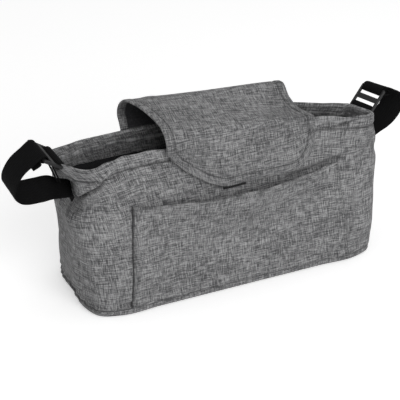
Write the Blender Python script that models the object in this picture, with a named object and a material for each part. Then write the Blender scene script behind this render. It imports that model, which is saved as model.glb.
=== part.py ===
"""Pet stroller caddy: an open-topped soft bag that hangs between the handles of a pushchair.

Metres, +Z up. The bag stands on its base panel, whose centre is the origin. +X runs along the
bag's length and -Y is the front, where the patch pocket is.

The wall is one surface, worked out by wall_ring(): a rounded rectangle at the base that leans in
to a narrower, softly bowed mouth at the rim. Every layer of the wall is that surface moved inward
by the layers outside it, and everything sewn to the wall reads its place from it.
"""
import math

import bmesh
import bpy
import numpy as np
from mathutils import Vector

# The gap that is left between two pieces of cloth that touch in the real bag
CLEARANCE = 0.0003
# The gap where a curved sheet lies on a wall whose facets fall elsewhere
LIE_CLEARANCE = 0.0006

# Base
BASE_LENGTH = 0.330
BASE_DEPTH = 0.125
BASE_CORNER_RADIUS = 0.029
BASE_EDGE_ROUND = 0.003
SEAM_HEIGHT = 0.007

# Mouth: the four corners of the rim. The front side sags in, the back side bows out; each list
# gives the outward bow near the side's start, in its middle and near its end.
RIM_HEIGHT = 0.156
RIM_BACK_LEFT = (-0.1800, 0.0160)
RIM_FRONT_LEFT = (-0.1700, -0.0390)
RIM_FRONT_RIGHT = (0.1635, -0.0400)
RIM_BACK_RIGHT = (0.1520, -0.0020)
RIM_CORNER_RADIUS = 0.007
RIM_FRONT_BOW = (-0.0070, -0.0095, -0.0120)
RIM_BACK_BOW = (0.0240, 0.0230, 0.0150)

# How the wall passes from the base outline to the rim outline: 1 is straight, more is later
LEAN_POWER = 1.25
FLARE_POWER = 2.5
WALL_BELLY = 0.003

# Cloth and padding
OUTER_CLOTH = 0.0010
WALL_PADDING = 0.0020
LINING_CLOTH = 0.0007
BASE_CLOTH = 0.0012
BOARD_THICKNESS = 0.0020
FACING_HEIGHT = 0.026
DIVIDER_THICKNESS = 0.0024
DIVIDER_HEIGHT = 0.112
DIVIDER_X = 0.078

# Front pocket: it narrows upward, and its mouth gapes most a little left of the middle
POCKET_CENTRE_X = -0.001
POCKET_BOTTOM_HALF_WIDTH = 0.125
POCKET_TOP_HALF_WIDTH = 0.115
POCKET_HEIGHT = 0.1105
POCKET_GAPE = 0.022
POCKET_GAPE_SKEW = 0.2
POCKET_CLOTH = 0.0014

# Flap: its middle line and half width at the back rim and at the front, and its reach down
FLAP_BACK_CENTRE_X = -0.0060
FLAP_FRONT_CENTRE_X = 0.0095
FLAP_BACK_HALF_WIDTH = 0.0890
FLAP_FRONT_HALF_WIDTH = 0.0845
FLAP_DROP = 0.0460
FLAP_BACK_STRIP = 0.022
FLAP_CLOTH = 0.0012
# The two lower corners: how far each reaches along the edge, and how square it is
FLAP_LEFT_CORNER = (0.062, 1.4)
FLAP_RIGHT_CORNER = (0.045, 2.6)
# The arch at the left and at the right edge: share of the mouth crossed, and height over the rim
FLAP_ARCH_LEFT = ((-0.05, 0.013), (-0.06, 0.0235), (0.12, 0.0330), (0.40, 0.0340),
                  (0.66, 0.0280), (0.88, 0.0200), (1.01, 0.0090))
FLAP_ARCH_RIGHT = ((-0.02, 0.013), (0.00, 0.0220), (0.14, 0.0260), (0.34, 0.0130),
                   (0.58, 0.0050), (0.82, 0.0042), (0.97, 0.0036))

# Hook-and-loop closure
PATCH_WIDTH = 0.026
PATCH_CENTRE_X = -0.004
PATCH_THICKNESS = 0.0011
LOOP_PATCH_LOW = 0.0505
LOOP_PATCH_HEIGHT = 0.034
HOOK_PATCH_LOW = 0.0395
HOOK_PATCH_HEIGHT = 0.022

# Webbing loops
WEBBING_WIDTH = 0.025
WEBBING_THICKNESS = 0.0015
STRAP_SEWN_LENGTH = 0.018
LEFT_ANCHOR_HEIGHT = 0.131
RIGHT_ANCHOR_HEIGHT = 0.124
LEFT_ANCHOR_Y = -0.008
RIGHT_ANCHOR_Y = -0.008
LEFT_YAW = math.radians(-14.5)
LEFT_ROLL = math.radians(21.0)
RIGHT_YAW = math.radians(13.0)
RIGHT_ROLL = math.radians(0.0)
# Route of each strap from its sewn end to its slider: distance out from the wall, height
LEFT_ROUTE = ((0.012, 0.0010), (0.026, 0.0012), (0.040, 0.002), (0.0505, 0.0060),
              (0.0575, 0.0130), (0.0590, 0.0225), (0.0570, 0.0320), (0.0525, 0.0405),
              (0.0440, 0.0480))
RIGHT_ROUTE = ((0.012, -0.0040), (0.028, -0.0015), (0.044, 0.0000), (0.058, 0.0016),
               (0.0680, 0.0070), (0.0715, 0.0150), (0.0690, 0.0225), (0.0600, 0.0295),
               (0.0470, 0.0370), (0.0340, 0.0430))
LEFT_SLIDER_CENTRE = (0.0235, 0.0440)
RIGHT_SLIDER_CENTRE = (0.0125, 0.0342)
LEFT_SLIDER_LEAN = math.radians(37.5)
RIGHT_SLIDER_LEAN = math.radians(47.0)
STRAP_TAIL = 0.016

# Slider: a flat plate with three bars and two slots
SLIDER_BAR = 0.0045
SLIDER_MIDDLE_BAR = 0.0056
SLIDER_SLOT_HEIGHT = 0.0066
SLIDER_SLOT_SIDE_GAP = 0.0008
SLIDER_RAIL = 0.0026
SLIDER_THICKNESS = 0.0030
SLIDER_CORNER = 0.0016

# Where each layer of the wall starts, measured inward from the bag's outer face
PADDING_INSET = OUTER_CLOTH + CLEARANCE
LINING_INSET = PADDING_INSET + WALL_PADDING + CLEARANCE
INSIDE_INSET = LINING_INSET + LINING_CLOTH

# Heights of the layers on the base
BOARD_BOTTOM = BASE_CLOTH + CLEARANCE
BOARD_TOP = BOARD_BOTTOM + BOARD_THICKNESS
FLOOR_BOTTOM = BOARD_TOP + CLEARANCE
FLOOR_TOP = FLOOR_BOTTOM + LINING_CLOTH

# How finely the outline is drawn: steps between its key points
CORNER_STEPS = 2
END_STEPS = 2
LONG_SIDE_STEPS = 3
# Heights at which every layer of the wall has a row of points, so that the layers stay parallel
WALL_LEVELS = np.linspace(SEAM_HEIGHT, RIM_HEIGHT, 7)[1:-1]
LEAST_ROW_HEIGHT = 0.003


def clear_scene():
    """Remove every object, so that the script can be run again."""
    for old_object in list(bpy.data.objects):
        bpy.data.objects.remove(old_object, do_unlink=True)


def plain_material(name, colour, roughness):
    """A Principled material with one colour and roughness."""
    made = bpy.data.materials.new(name)
    made.use_nodes = True
    shader = made.node_tree.nodes["Principled BSDF"]
    shader.inputs["Base Color"].default_value = (*colour, 1.0)
    shader.inputs["Roughness"].default_value = roughness
    made.diffuse_color = (*colour, 1.0)
    return made


def add_piece(name, bm, material, smooth=True):
    """Turn a bmesh into an object with its faces pointing out."""
    bmesh.ops.recalc_face_normals(bm, faces=bm.faces)
    if bm.calc_volume(signed=True) < 0.0:
        bmesh.ops.reverse_faces(bm, faces=bm.faces)
    mesh = bpy.data.meshes.new(name)
    bm.to_mesh(mesh)
    bm.free()
    mesh.materials.append(material)
    if smooth:
        mesh.shade_smooth()
        mesh.set_sharp_from_angle(angle=math.radians(40.0))
    piece = bpy.data.objects.new(name, mesh)
    bpy.context.scene.collection.objects.link(piece)
    return piece


def key_slope(before, here, after):
    """Slope of a smooth curve at a key, weighted so that the nearer neighbour counts for more."""
    length_in = np.linalg.norm(here - before)
    length_out = np.linalg.norm(after - here)
    slope_in = (here - before) / length_in
    slope_out = (after - here) / length_out
    return (slope_in * length_out + slope_out * length_in) / (length_in + length_out)


def spline_span(before, start, end, after, share):
    """A point between start and end on a smooth curve through all four keys."""
    length = np.linalg.norm(end - start)
    start_slope = key_slope(before, start, end) * length
    end_slope = key_slope(start, end, after) * length
    square = share * share
    cube = square * share
    return ((2.0 * cube - 3.0 * square + 1.0) * start + (cube - 2.0 * square + share) * start_slope
            + (3.0 * square - 2.0 * cube) * end + (cube - square) * end_slope)


def closed_curve(keys, steps):
    """Points of a closed smooth curve, with steps[i] of them from key i up to the next key."""
    keys = np.asarray(keys, dtype=float)
    count = len(keys)
    points = []
    for index in range(count):
        around = [keys[(index + shift) % count] for shift in (-1, 0, 1, 2)]
        for step in range(steps[index]):
            points.append(spline_span(*around, step / steps[index]))
    return np.array(points)


def open_curve(keys, steps):
    """Points of an open smooth curve, the same number of steps between each two keys."""
    keys = np.asarray(keys, dtype=float)
    first = 2.0 * keys[0] - keys[1]
    last = 2.0 * keys[-1] - keys[-2]
    padded = np.vstack([first, keys, last])
    points = []
    for index in range(len(keys) - 1):
        for step in range(steps):
            points.append(spline_span(*padded[index:index + 4], step / steps))
    points.append(keys[-1])
    return np.array(points)


def smooth_step(share):
    """0 below 0, 1 above 1, and a soft ramp between."""
    share = min(1.0, max(0.0, share))
    return share * share * (3.0 - 2.0 * share)


# The wall's surface

def outline_keys(corners, radius, front_bow, back_bow):
    """Key points of an outline, from the back-left corner round the left end and the front.

    Each corner gives the two ends of its rounding and its middle; a bow moves three places of a
    long side outward.
    """
    corners = [np.array(corner, dtype=float) for corner in corners]
    mid_share = 1.0 - math.sqrt(0.5)
    rounded = []
    for index, corner in enumerate(corners):
        to_last = corners[index - 1] - corner
        to_next = corners[(index + 1) % 4] - corner
        to_last /= np.linalg.norm(to_last)
        to_next /= np.linalg.norm(to_next)
        rounded.append((corner + radius * to_last,
                        corner + radius * mid_share * (to_last + to_next),
                        corner + radius * to_next))
    back_left, front_left, front_right, back_right = rounded

    def side(start, end, bows):
        along = end - start
        outward = np.array((along[1], -along[0])) / np.linalg.norm(along)
        return [start + along * share + outward * bow for share, bow in bows]

    end_side = ((0.50, 0.0),)
    long_shares = (0.16, 0.50, 0.84)
    return [back_left[1], back_left[2],
            *side(back_left[2], front_left[0], end_side),
            *front_left,
            *side(front_left[2], front_right[0], zip(long_shares, front_bow)),
            *front_right,
            *side(front_right[2], back_right[0], end_side),
            *back_right,
            *side(back_right[2], back_left[0], zip(long_shares, back_bow)),
            back_left[0]]


def outline_steps():
    """Steps after each key point, in the order of outline_keys()."""
    corner = [CORNER_STEPS, CORNER_STEPS]
    end = [END_STEPS, END_STEPS]
    long_side = [LONG_SIDE_STEPS] * 4
    return [CORNER_STEPS, *end, *corner, *long_side, *corner, *end, *corner, *long_side, CORNER_STEPS]


STEPS = outline_steps()
FRONT_LEFT_STATION = sum(STEPS[:4])
FRONT_RIGHT_STATION = sum(STEPS[:10])
BACK_RIGHT_STATION = sum(STEPS[:14])
STATION_COUNT = sum(STEPS)

STRAIGHT = (0.0, 0.0, 0.0)
BASE_OUTLINE = closed_curve(outline_keys(
    ((-BASE_LENGTH / 2, BASE_DEPTH / 2), (-BASE_LENGTH / 2, -BASE_DEPTH / 2),
     (BASE_LENGTH / 2, -BASE_DEPTH / 2), (BASE_LENGTH / 2, BASE_DEPTH / 2)),
    BASE_CORNER_RADIUS, STRAIGHT, STRAIGHT), STEPS)
RIM_OUTLINE = closed_curve(outline_keys(
    (RIM_BACK_LEFT, RIM_FRONT_LEFT, RIM_FRONT_RIGHT, RIM_BACK_RIGHT),
    RIM_CORNER_RADIUS, RIM_FRONT_BOW, RIM_BACK_BOW), STEPS)


def outward_normals(outline):
    """Unit normals of a closed plan outline, pointing out of the bag."""
    along = np.roll(outline, -1, axis=0) - np.roll(outline, 1, axis=0)
    normals = np.column_stack((along[:, 1], -along[:, 0]))
    return normals / np.linalg.norm(normals, axis=1)[:, None]


def wall_ring(z, inset=0.0):
    """The wall's closed outline at a height, moved inward by inset, as points in space."""
    height_share = max(0.0, (z - SEAM_HEIGHT) / (RIM_HEIGHT - SEAM_HEIGHT))
    flare = height_share ** FLARE_POWER
    lean = height_share ** LEAN_POWER
    outline = BASE_OUTLINE + (RIM_OUTLINE - BASE_OUTLINE) * np.array((flare, lean))
    belly = WALL_BELLY * math.sin(math.pi * min(1.0, height_share))
    outline = outline + outward_normals(outline) * (belly - inset)
    return np.column_stack((outline, np.full(len(outline), z)))


def front_y(x, z, inset=0.0):
    """Y of the front wall at a place along the bag and a height."""
    ring = wall_ring(z, inset)[FRONT_LEFT_STATION:FRONT_RIGHT_STATION + 1]
    return float(np.interp(x, ring[:, 0], ring[:, 1]))


def back_y(x, z, inset=0.0):
    """Y of the back wall at a place along the bag and a height."""
    ring = wall_ring(z, inset)[BACK_RIGHT_STATION:][::-1]
    return float(np.interp(x, ring[:, 0], ring[:, 1]))


def end_x(side, y, z):
    """X of the left (-1) or right (+1) end wall's outer face."""
    ring = wall_ring(z)
    if side < 0:
        stations = ring[:FRONT_LEFT_STATION + 1][::-1]
    else:
        stations = ring[FRONT_RIGHT_STATION:BACK_RIGHT_STATION + 1]
    return float(np.interp(y, stations[:, 1], stations[:, 0]))


# Solids from rows of points

def quad_strip(bm, row_a, row_b, closed):
    """Faces between two rows of vertices."""
    count = len(row_a)
    for index in range(count if closed else count - 1):
        following = (index + 1) % count
        bm.faces.new((row_a[index], row_a[following], row_b[following], row_b[index]))


def thick_sheet(outer_rows, inner_rows, closed=False):
    """A sheet between two grids of points. Closed sheets join their last column to the first."""
    bm = bmesh.new()
    outer = [[bm.verts.new(point) for point in row] for row in outer_rows]
    inner = [[bm.verts.new(point) for point in row] for row in inner_rows]
    for grid in (outer, inner):
        for row_a, row_b in zip(grid[:-1], grid[1:]):
            quad_strip(bm, row_a, row_b, closed)
    quad_strip(bm, outer[0], inner[0], closed)
    quad_strip(bm, outer[-1], inner[-1], closed)
    if not closed:
        for column in (0, -1):
            quad_strip(bm, [row[column] for row in outer], [row[column] for row in inner], False)
    return bm


def ring_sweep(rings):
    """A closed band whose section is the loop of rings, such as a facing's folded section."""
    bm = bmesh.new()
    loops = [[bm.verts.new(point) for point in ring] for ring in rings]
    for index, loop in enumerate(loops):
        quad_strip(bm, loop, loops[(index + 1) % len(loops)], True)
    return bm


def capped_stack(rings):
    """A solid made of rings joined one to the next, its first and last ring filled."""
    bm = bmesh.new()
    loops = [[bm.verts.new(point) for point in ring] for ring in rings]
    for loop_a, loop_b in zip(loops[:-1], loops[1:]):
        quad_strip(bm, loop_a, loop_b, True)
    bm.faces.new(loops[0])
    bm.faces.new(loops[-1])
    return bm


def wall_heights(low, high):
    """Heights of a layer's rows: its lowest, the shared levels between, its highest."""
    between = [z for z in WALL_LEVELS if low + LEAST_ROW_HEIGHT < z < high - LEAST_ROW_HEIGHT]
    return [low, *between, high]


def trimmed_ends(rows):
    """Draw the first and last column back by a clearance, to leave room for the next panel."""
    rows = [row.copy() for row in rows]
    for row in rows:
        for end, beside in ((0, 1), (-1, -2)):
            along = row[beside] - row[end]
            row[end] += along / np.linalg.norm(along) * CLEARANCE
    return rows


# Base

def build_base(cloth, board_material, lining_material):
    """The base panel with its turned-up edge, the board inside it and the lining over the board."""
    upstand_top = SEAM_HEIGHT - CLEARANCE / 2
    rings = [wall_ring(0.0, BASE_EDGE_ROUND),
             wall_ring(BASE_EDGE_ROUND * 0.3, BASE_EDGE_ROUND * 0.3),
             wall_ring(BASE_EDGE_ROUND, 0.0),
             wall_ring(upstand_top, 0.0),
             wall_ring(upstand_top, OUTER_CLOTH),
             wall_ring(BASE_CLOTH + BASE_EDGE_ROUND * 0.5, OUTER_CLOTH),
             wall_ring(BASE_CLOTH, OUTER_CLOTH + BASE_EDGE_ROUND * 0.5)]
    add_piece("base_panel", capped_stack(rings), cloth)

    board_inset = OUTER_CLOTH + BASE_EDGE_ROUND * 0.5 + CLEARANCE
    board = [wall_ring(BOARD_BOTTOM, board_inset), wall_ring(BOARD_TOP, board_inset)]
    add_piece("base_board", capped_stack(board), board_material)

    floor = [wall_ring(FLOOR_BOTTOM, LINING_INSET), wall_ring(FLOOR_TOP, LINING_INSET)]
    add_piece("base_lining", capped_stack(floor), lining_material)


# Walls

def build_walls(cloth, padding_material, lining_material):
    """Outer panels, padding, lining and the rim's turned-in facing."""
    heights = wall_heights(SEAM_HEIGHT + CLEARANCE / 2, RIM_HEIGHT)
    outer = [wall_ring(z) for z in heights]
    inner = [wall_ring(z, OUTER_CLOTH) for z in heights]

    front_outer = trimmed_ends([ring[:BACK_RIGHT_STATION + 1] for ring in outer])
    front_inner = trimmed_ends([ring[:BACK_RIGHT_STATION + 1] for ring in inner])
    add_piece("front_panel", thick_sheet(front_outer, front_inner), cloth)

    back_outer = trimmed_ends([np.vstack((ring[BACK_RIGHT_STATION:], ring[:1])) for ring in outer])
    back_inner = trimmed_ends([np.vstack((ring[BACK_RIGHT_STATION:], ring[:1])) for ring in inner])
    add_piece("back_panel", thick_sheet(back_outer, back_inner), cloth)

    fold_bottom = RIM_HEIGHT - OUTER_CLOTH
    heights = wall_heights(FLOOR_BOTTOM, fold_bottom - CLEARANCE)
    add_piece("wall_padding",
              thick_sheet([wall_ring(z, PADDING_INSET) for z in heights],
                          [wall_ring(z, PADDING_INSET + WALL_PADDING) for z in heights], closed=True),
              padding_material)

    facing_bottom = RIM_HEIGHT - FACING_HEIGHT
    heights = wall_heights(FLOOR_TOP + CLEARANCE, facing_bottom - CLEARANCE)
    add_piece("wall_lining",
              thick_sheet([wall_ring(z, LINING_INSET) for z in heights],
                          [wall_ring(z, INSIDE_INSET) for z in heights], closed=True),
              lining_material)

    facing = [wall_ring(RIM_HEIGHT, PADDING_INSET),
              wall_ring(RIM_HEIGHT, INSIDE_INSET),
              wall_ring(facing_bottom, INSIDE_INSET),
              wall_ring(facing_bottom, LINING_INSET),
              wall_ring(fold_bottom, LINING_INSET),
              wall_ring(fold_bottom, PADDING_INSET)]
    add_piece("rim_facing", ring_sweep(facing), cloth)


def build_dividers(lining_material):
    """Two padded panels across the bag, which part the end spaces from the one under the flap."""
    inset = INSIDE_INSET + LIE_CLEARANCE
    heights = wall_heights(FLOOR_TOP + CLEARANCE, DIVIDER_HEIGHT)
    centre = (FLAP_BACK_CENTRE_X + FLAP_FRONT_CENTRE_X) / 2
    for name, side in (("left_divider", -1), ("right_divider", 1)):
        x = centre + side * DIVIDER_X
        faces = []
        for shift in (-DIVIDER_THICKNESS / 2, DIVIDER_THICKNESS / 2):
            faces.append([((x + shift, front_y(x + shift, z, inset), z),
                           (x + shift, back_y(x + shift, z, inset), z)) for z in heights])
        add_piece(name, thick_sheet(faces[0], faces[1]), lining_material, smooth=False)


# Front pocket

def pocket_mouth(across):
    """How open the mouth is at a place across it: 0 at the side seams, about 1 in the middle."""
    return (1.0 - across * across) * (1.0 - POCKET_GAPE_SKEW * across)


def build_pocket(cloth):
    """The patch pocket: tight at its seams, with a mouth that gapes."""
    bottom = SEAM_HEIGHT + CLEARANCE
    inner_rows = []
    outer_rows = []
    for height_share in np.linspace(0.0, 1.0, 8):
        half_width = POCKET_BOTTOM_HALF_WIDTH + height_share * (
            POCKET_TOP_HALF_WIDTH - POCKET_BOTTOM_HALF_WIDTH)
        z = bottom + (POCKET_HEIGHT - bottom) * height_share
        inner_row = []
        outer_row = []
        for across in np.linspace(-1.0, 1.0, 19):
            x = POCKET_CENTRE_X + across * half_width
            away = LIE_CLEARANCE + POCKET_GAPE * pocket_mouth(across) * height_share ** 2.6
            y = front_y(x, z) - away
            inner_row.append((x, y, z))
            outer_row.append((x, y - POCKET_CLOTH, z))
        inner_rows.append(inner_row)
        outer_rows.append(outer_row)
    add_piece("front_pocket", thick_sheet(outer_rows, inner_rows), cloth)


# Flap

FLAP_LINING_OUTSIDE = LINING_CLOTH
FLAP_CLOTH_INSIDE = FLAP_LINING_OUTSIDE + CLEARANCE
FLAP_STAND_OFF = 2 * PATCH_THICKNESS + 2 * LIE_CLEARANCE + CLEARANCE
FLAP_COLUMNS = 15
FLAP_ARCH_STEPS = 2
FLAP_DROP_ROWS = 6


def flap_x(crossed, across):
    """X of a point of the flap: it drifts to the right and narrows as it crosses the mouth."""
    turned = smooth_step(crossed)
    centre = FLAP_BACK_CENTRE_X + (FLAP_FRONT_CENTRE_X - FLAP_BACK_CENTRE_X) * turned
    half_width = FLAP_BACK_HALF_WIDTH + (FLAP_FRONT_HALF_WIDTH - FLAP_BACK_HALF_WIDTH) * turned
    return centre + across * half_width


def flap_edge_drop(across):
    """How far down the front the flap reaches at a place across it, with its round corners."""
    reach, power = FLAP_LEFT_CORNER if across < 0.0 else FLAP_RIGHT_CORNER
    past = max(0.0, abs(across) * FLAP_FRONT_HALF_WIDTH - (FLAP_FRONT_HALF_WIDTH - reach)) / reach
    past = min(1.0, past)
    return FLAP_DROP * (1.0 - past ** power) ** (1.0 / power)


def flap_column(across):
    """Points down one line of the flap's inner face, from the back rim over to the front."""
    right_share = (across + 1.0) / 2.0
    back_x = flap_x(0.0, across)
    front_x = flap_x(1.0, across)
    start = back_y(back_x, RIM_HEIGHT) + LIE_CLEARANCE - FLAP_CLOTH_INSIDE
    finish = front_y(front_x, RIM_HEIGHT) - FLAP_STAND_OFF
    keys = [(back_x, start, RIM_HEIGHT + CLEARANCE)]
    for left, right in zip(FLAP_ARCH_LEFT, FLAP_ARCH_RIGHT):
        crossed = left[0] + (right[0] - left[0]) * right_share
        height = left[1] + (right[1] - left[1]) * right_share
        keys.append((flap_x(crossed, across), start + (finish - start) * crossed,
                     RIM_HEIGHT + height))
    keys.append((front_x, finish, RIM_HEIGHT - FLAP_DROP * 0.06))
    arch = list(open_curve(keys, FLAP_ARCH_STEPS))

    lowest = RIM_HEIGHT - flap_edge_drop(across)
    highest = keys[-1][2]
    for row in range(1, FLAP_DROP_ROWS + 1):
        z = highest + (min(lowest, highest - 0.002) - highest) * row / FLAP_DROP_ROWS
        arch.append(np.array((front_x, front_y(front_x, z) - FLAP_STAND_OFF, z)))
    return arch


def grid_normals(grid):
    """Unit normals of a grid of points, on the side away from the bag."""
    along = np.gradient(grid, axis=0)
    across = np.gradient(grid, axis=1)
    normals = np.cross(along, across)
    return normals / np.linalg.norm(normals, axis=2)[:, :, None]


def build_flap(cloth, lining_material, patch_material):
    """The lid flap: sewn to the back panel, arched over the mouth and closed on the front."""
    columns = [flap_column(across) for across in np.linspace(-1.0, 1.0, FLAP_COLUMNS)]
    inside = np.array(columns).transpose(1, 0, 2)
    normals = grid_normals(inside)
    normals[0] = (0.0, 1.0, 0.0)

    add_piece("flap_lining", thick_sheet(inside + normals * FLAP_LINING_OUTSIDE, inside),
              lining_material)

    strip_rows = []
    for z in np.linspace(RIM_HEIGHT - FLAP_BACK_STRIP, RIM_HEIGHT - CLEARANCE, 3):
        strip_rows.append([(x, back_y(x, z) + LIE_CLEARANCE - FLAP_CLOTH_INSIDE, z)
                           for x in inside[0, :, 0]])
    strip = np.array(strip_rows)
    strip_normals = np.zeros_like(strip)
    strip_normals[:, :, 1] = 1.0
    whole = np.concatenate((strip, inside))
    whole_normals = np.concatenate((strip_normals, normals))
    add_piece("flap_cloth", thick_sheet(whole + whole_normals * (FLAP_CLOTH_INSIDE + FLAP_CLOTH),
                                        whole + whole_normals * FLAP_CLOTH_INSIDE), cloth)

    for name, drop, height, away in (
            ("front_loop_patch", LOOP_PATCH_LOW, LOOP_PATCH_HEIGHT, LIE_CLEARANCE),
            ("flap_hook_patch", HOOK_PATCH_LOW, HOOK_PATCH_HEIGHT,
             PATCH_THICKNESS + 2 * LIE_CLEARANCE)):
        inner_rows = []
        for z in np.linspace(RIM_HEIGHT - drop, RIM_HEIGHT - drop + height, 4):
            inner_rows.append([(x, front_y(x, z) - away, z) for x in
                               np.linspace(-0.5, 0.5, 4) * PATCH_WIDTH + PATCH_CENTRE_X])
        inner_grid = np.array(inner_rows)
        outer_grid = inner_grid - np.array((0.0, PATCH_THICKNESS, 0.0))
        add_piece(name, thick_sheet(outer_grid, inner_grid), patch_material, smooth=False)


# Webbing loops and sliders

class LoopFrame:
    """Places a flat route, given as distance out and height, in the plane that a loop hangs in."""

    def __init__(self, side, anchor_y, anchor_z, yaw, roll, lean):
        self.side = side
        self.yaw = yaw
        self.roll = roll
        self.lean = lean
        self.anchor = Vector((end_x(side, anchor_y, anchor_z), anchor_y, anchor_z))
        half = WEBBING_WIDTH / 2
        run = end_x(side, anchor_y + half, anchor_z) - end_x(side, anchor_y - half, anchor_z)
        self.wall_yaw = -math.atan2(run, WEBBING_WIDTH)

    def axes(self, turned):
        """Directions out, across (to the front) and up; turned is 0 on the wall and 1 in the loop."""
        yaw = self.wall_yaw + (self.yaw - self.wall_yaw) * turned
        roll = self.roll * turned
        out = Vector((self.side * math.cos(yaw), math.sin(yaw), 0.0))
        level = Vector((self.side * math.sin(yaw), -math.cos(yaw), 0.0))
        across = level * math.cos(roll) - Vector((0.0, 0.0, math.sin(roll)))
        up = level * math.sin(roll) + Vector((0.0, 0.0, math.cos(roll)))
        return out, across, up

    def place(self, out_distance, height, turned=1.0):
        """The point in space for a point of the flat route."""
        out, _, up = self.axes(turned)
        return self.anchor + out * out_distance + up * height

    def on_wall(self, height, away):
        """Route values (out, height) of a point of the band where it lies flat on the end wall."""
        z = self.anchor.z + height
        out, across, _ = self.axes(0.0)
        reaches = []
        for wide in (-0.5, -0.25, 0.0, 0.25, 0.5):
            y = self.anchor.y + across.y * wide * WEBBING_WIDTH
            on_face = Vector((end_x(self.side, y, z), y, self.anchor.z))
            reaches.append((on_face - self.anchor).dot(out))
        return max(reaches) + away, height


def webbing(frame, route, turns):
    """A flat band that follows a route; turns says how far each point has turned with the loop."""
    bm = bmesh.new()
    sections = []
    for index, ((out_distance, height), turned) in enumerate(zip(route, turns)):
        before = route[max(0, index - 1)]
        after = route[min(len(route) - 1, index + 1)]
        along = Vector((after[0] - before[0], after[1] - before[1])).normalized()
        _, across, _ = frame.axes(turned)
        corners = []
        for thick, wide in ((-0.5, -0.5), (-0.5, 0.5), (0.5, 0.5), (0.5, -0.5)):
            shift = thick * WEBBING_THICKNESS
            point = frame.place(out_distance - along.y * shift, height + along.x * shift, turned)
            corners.append(bm.verts.new(point + across * wide * WEBBING_WIDTH))
        sections.append(corners)
    for section_a, section_b in zip(sections[:-1], sections[1:]):
        quad_strip(bm, section_a, section_b, True)
    bm.faces.new(sections[0])
    bm.faces.new(sections[-1])
    return bm


SLIDER_HEIGHT = 2 * SLIDER_BAR + SLIDER_MIDDLE_BAR + 2 * SLIDER_SLOT_HEIGHT
SLIDER_HALF_SLOT = WEBBING_WIDTH / 2 + SLIDER_SLOT_SIDE_GAP
WRAP_GAP = 0.0010
# The length of route over which a band turns from the wall into its loop
TURN_LENGTH = 0.012


def bar_wrap(lean, centre, towards):
    """Route points round one end bar, from its upper face through the slot to its lower face."""
    along = np.array((math.cos(lean), math.sin(lean)))
    face = np.array((-along[1], along[0]))
    half_bar = SLIDER_BAR / 2
    over = SLIDER_THICKNESS / 2 + WRAP_GAP + WEBBING_THICKNESS / 2
    beside = half_bar + WRAP_GAP + WEBBING_THICKNESS / 2
    inward = -towards * along
    centre = np.array(centre)
    return [centre - inward * half_bar + face * over,
            centre + inward * half_bar * 0.5 + face * over,
            centre + inward * beside + face * SLIDER_THICKNESS * 0.35,
            centre + inward * beside - face * SLIDER_THICKNESS * 0.35,
            centre + inward * half_bar * 0.5 - face * over,
            centre - inward * half_bar - face * over]


def strap_route(frame, route, slider_centre):
    """The strap: sewn to the end wall, out and round, over the top bar and back under itself."""
    along = np.array((math.cos(frame.lean), math.sin(frame.lean)))
    top_bar = np.array(slider_centre) + along * (SLIDER_HEIGHT - SLIDER_BAR) / 2
    wall_gap = LIE_CLEARANCE + WEBBING_THICKNESS / 2
    wrap = bar_wrap(frame.lean, top_bar, 1.0)
    tail_step = np.array(route[-1]) - wrap[0]
    tail_step /= np.linalg.norm(tail_step)
    below = np.array((tail_step[1], -tail_step[0])) * (2 * WEBBING_THICKNESS + SLIDER_THICKNESS)
    tail = [wrap[0] + below + tail_step * STRAP_TAIL * share for share in (0.45, 1.0)]
    keys = [frame.on_wall(-STRAP_SEWN_LENGTH, wall_gap),
            frame.on_wall(-STRAP_SEWN_LENGTH / 2, wall_gap),
            frame.on_wall(-0.0045, wall_gap + 0.0002),
            (wall_gap + 0.0040, -0.0008),
            *route, *wrap, *tail]
    turns = [0.0, 0.0, 0.0, 0.15, 0.6, *[1.0] * (len(keys) - 5)]
    return keys, turns


def tab_route(frame, slider_centre):
    """The short tab: up the end wall, round the slider's lower bar and back down on itself."""
    along = np.array((math.cos(frame.lean), math.sin(frame.lean)))
    low_bar = np.array(slider_centre) - along * (SLIDER_HEIGHT - SLIDER_BAR) / 2
    wall_gap = LIE_CLEARANCE + WEBBING_THICKNESS / 2
    second = wall_gap + WEBBING_THICKNESS + LIE_CLEARANCE
    leave = low_bar[1] - 0.010
    keys = [frame.on_wall(0.0055, wall_gap),
            frame.on_wall(leave, wall_gap),
            *bar_wrap(frame.lean, low_bar, -1.0),
            frame.on_wall(leave - 0.001, second + 0.0006),
            frame.on_wall(0.0065, second)]
    turns = [0.0, 0.0, *[1.0] * 6, 0.0, 0.0]
    return keys, turns


def fine_route(keys, turns, steps):
    """A smooth route and its turns, with the same steps between each two keys."""
    joined = [(*key, turned * TURN_LENGTH) for key, turned in zip(keys, turns)]
    fine = open_curve(joined, steps)
    return fine[:, :2], np.clip(fine[:, 2] / TURN_LENGTH, 0.0, 1.0)


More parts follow.
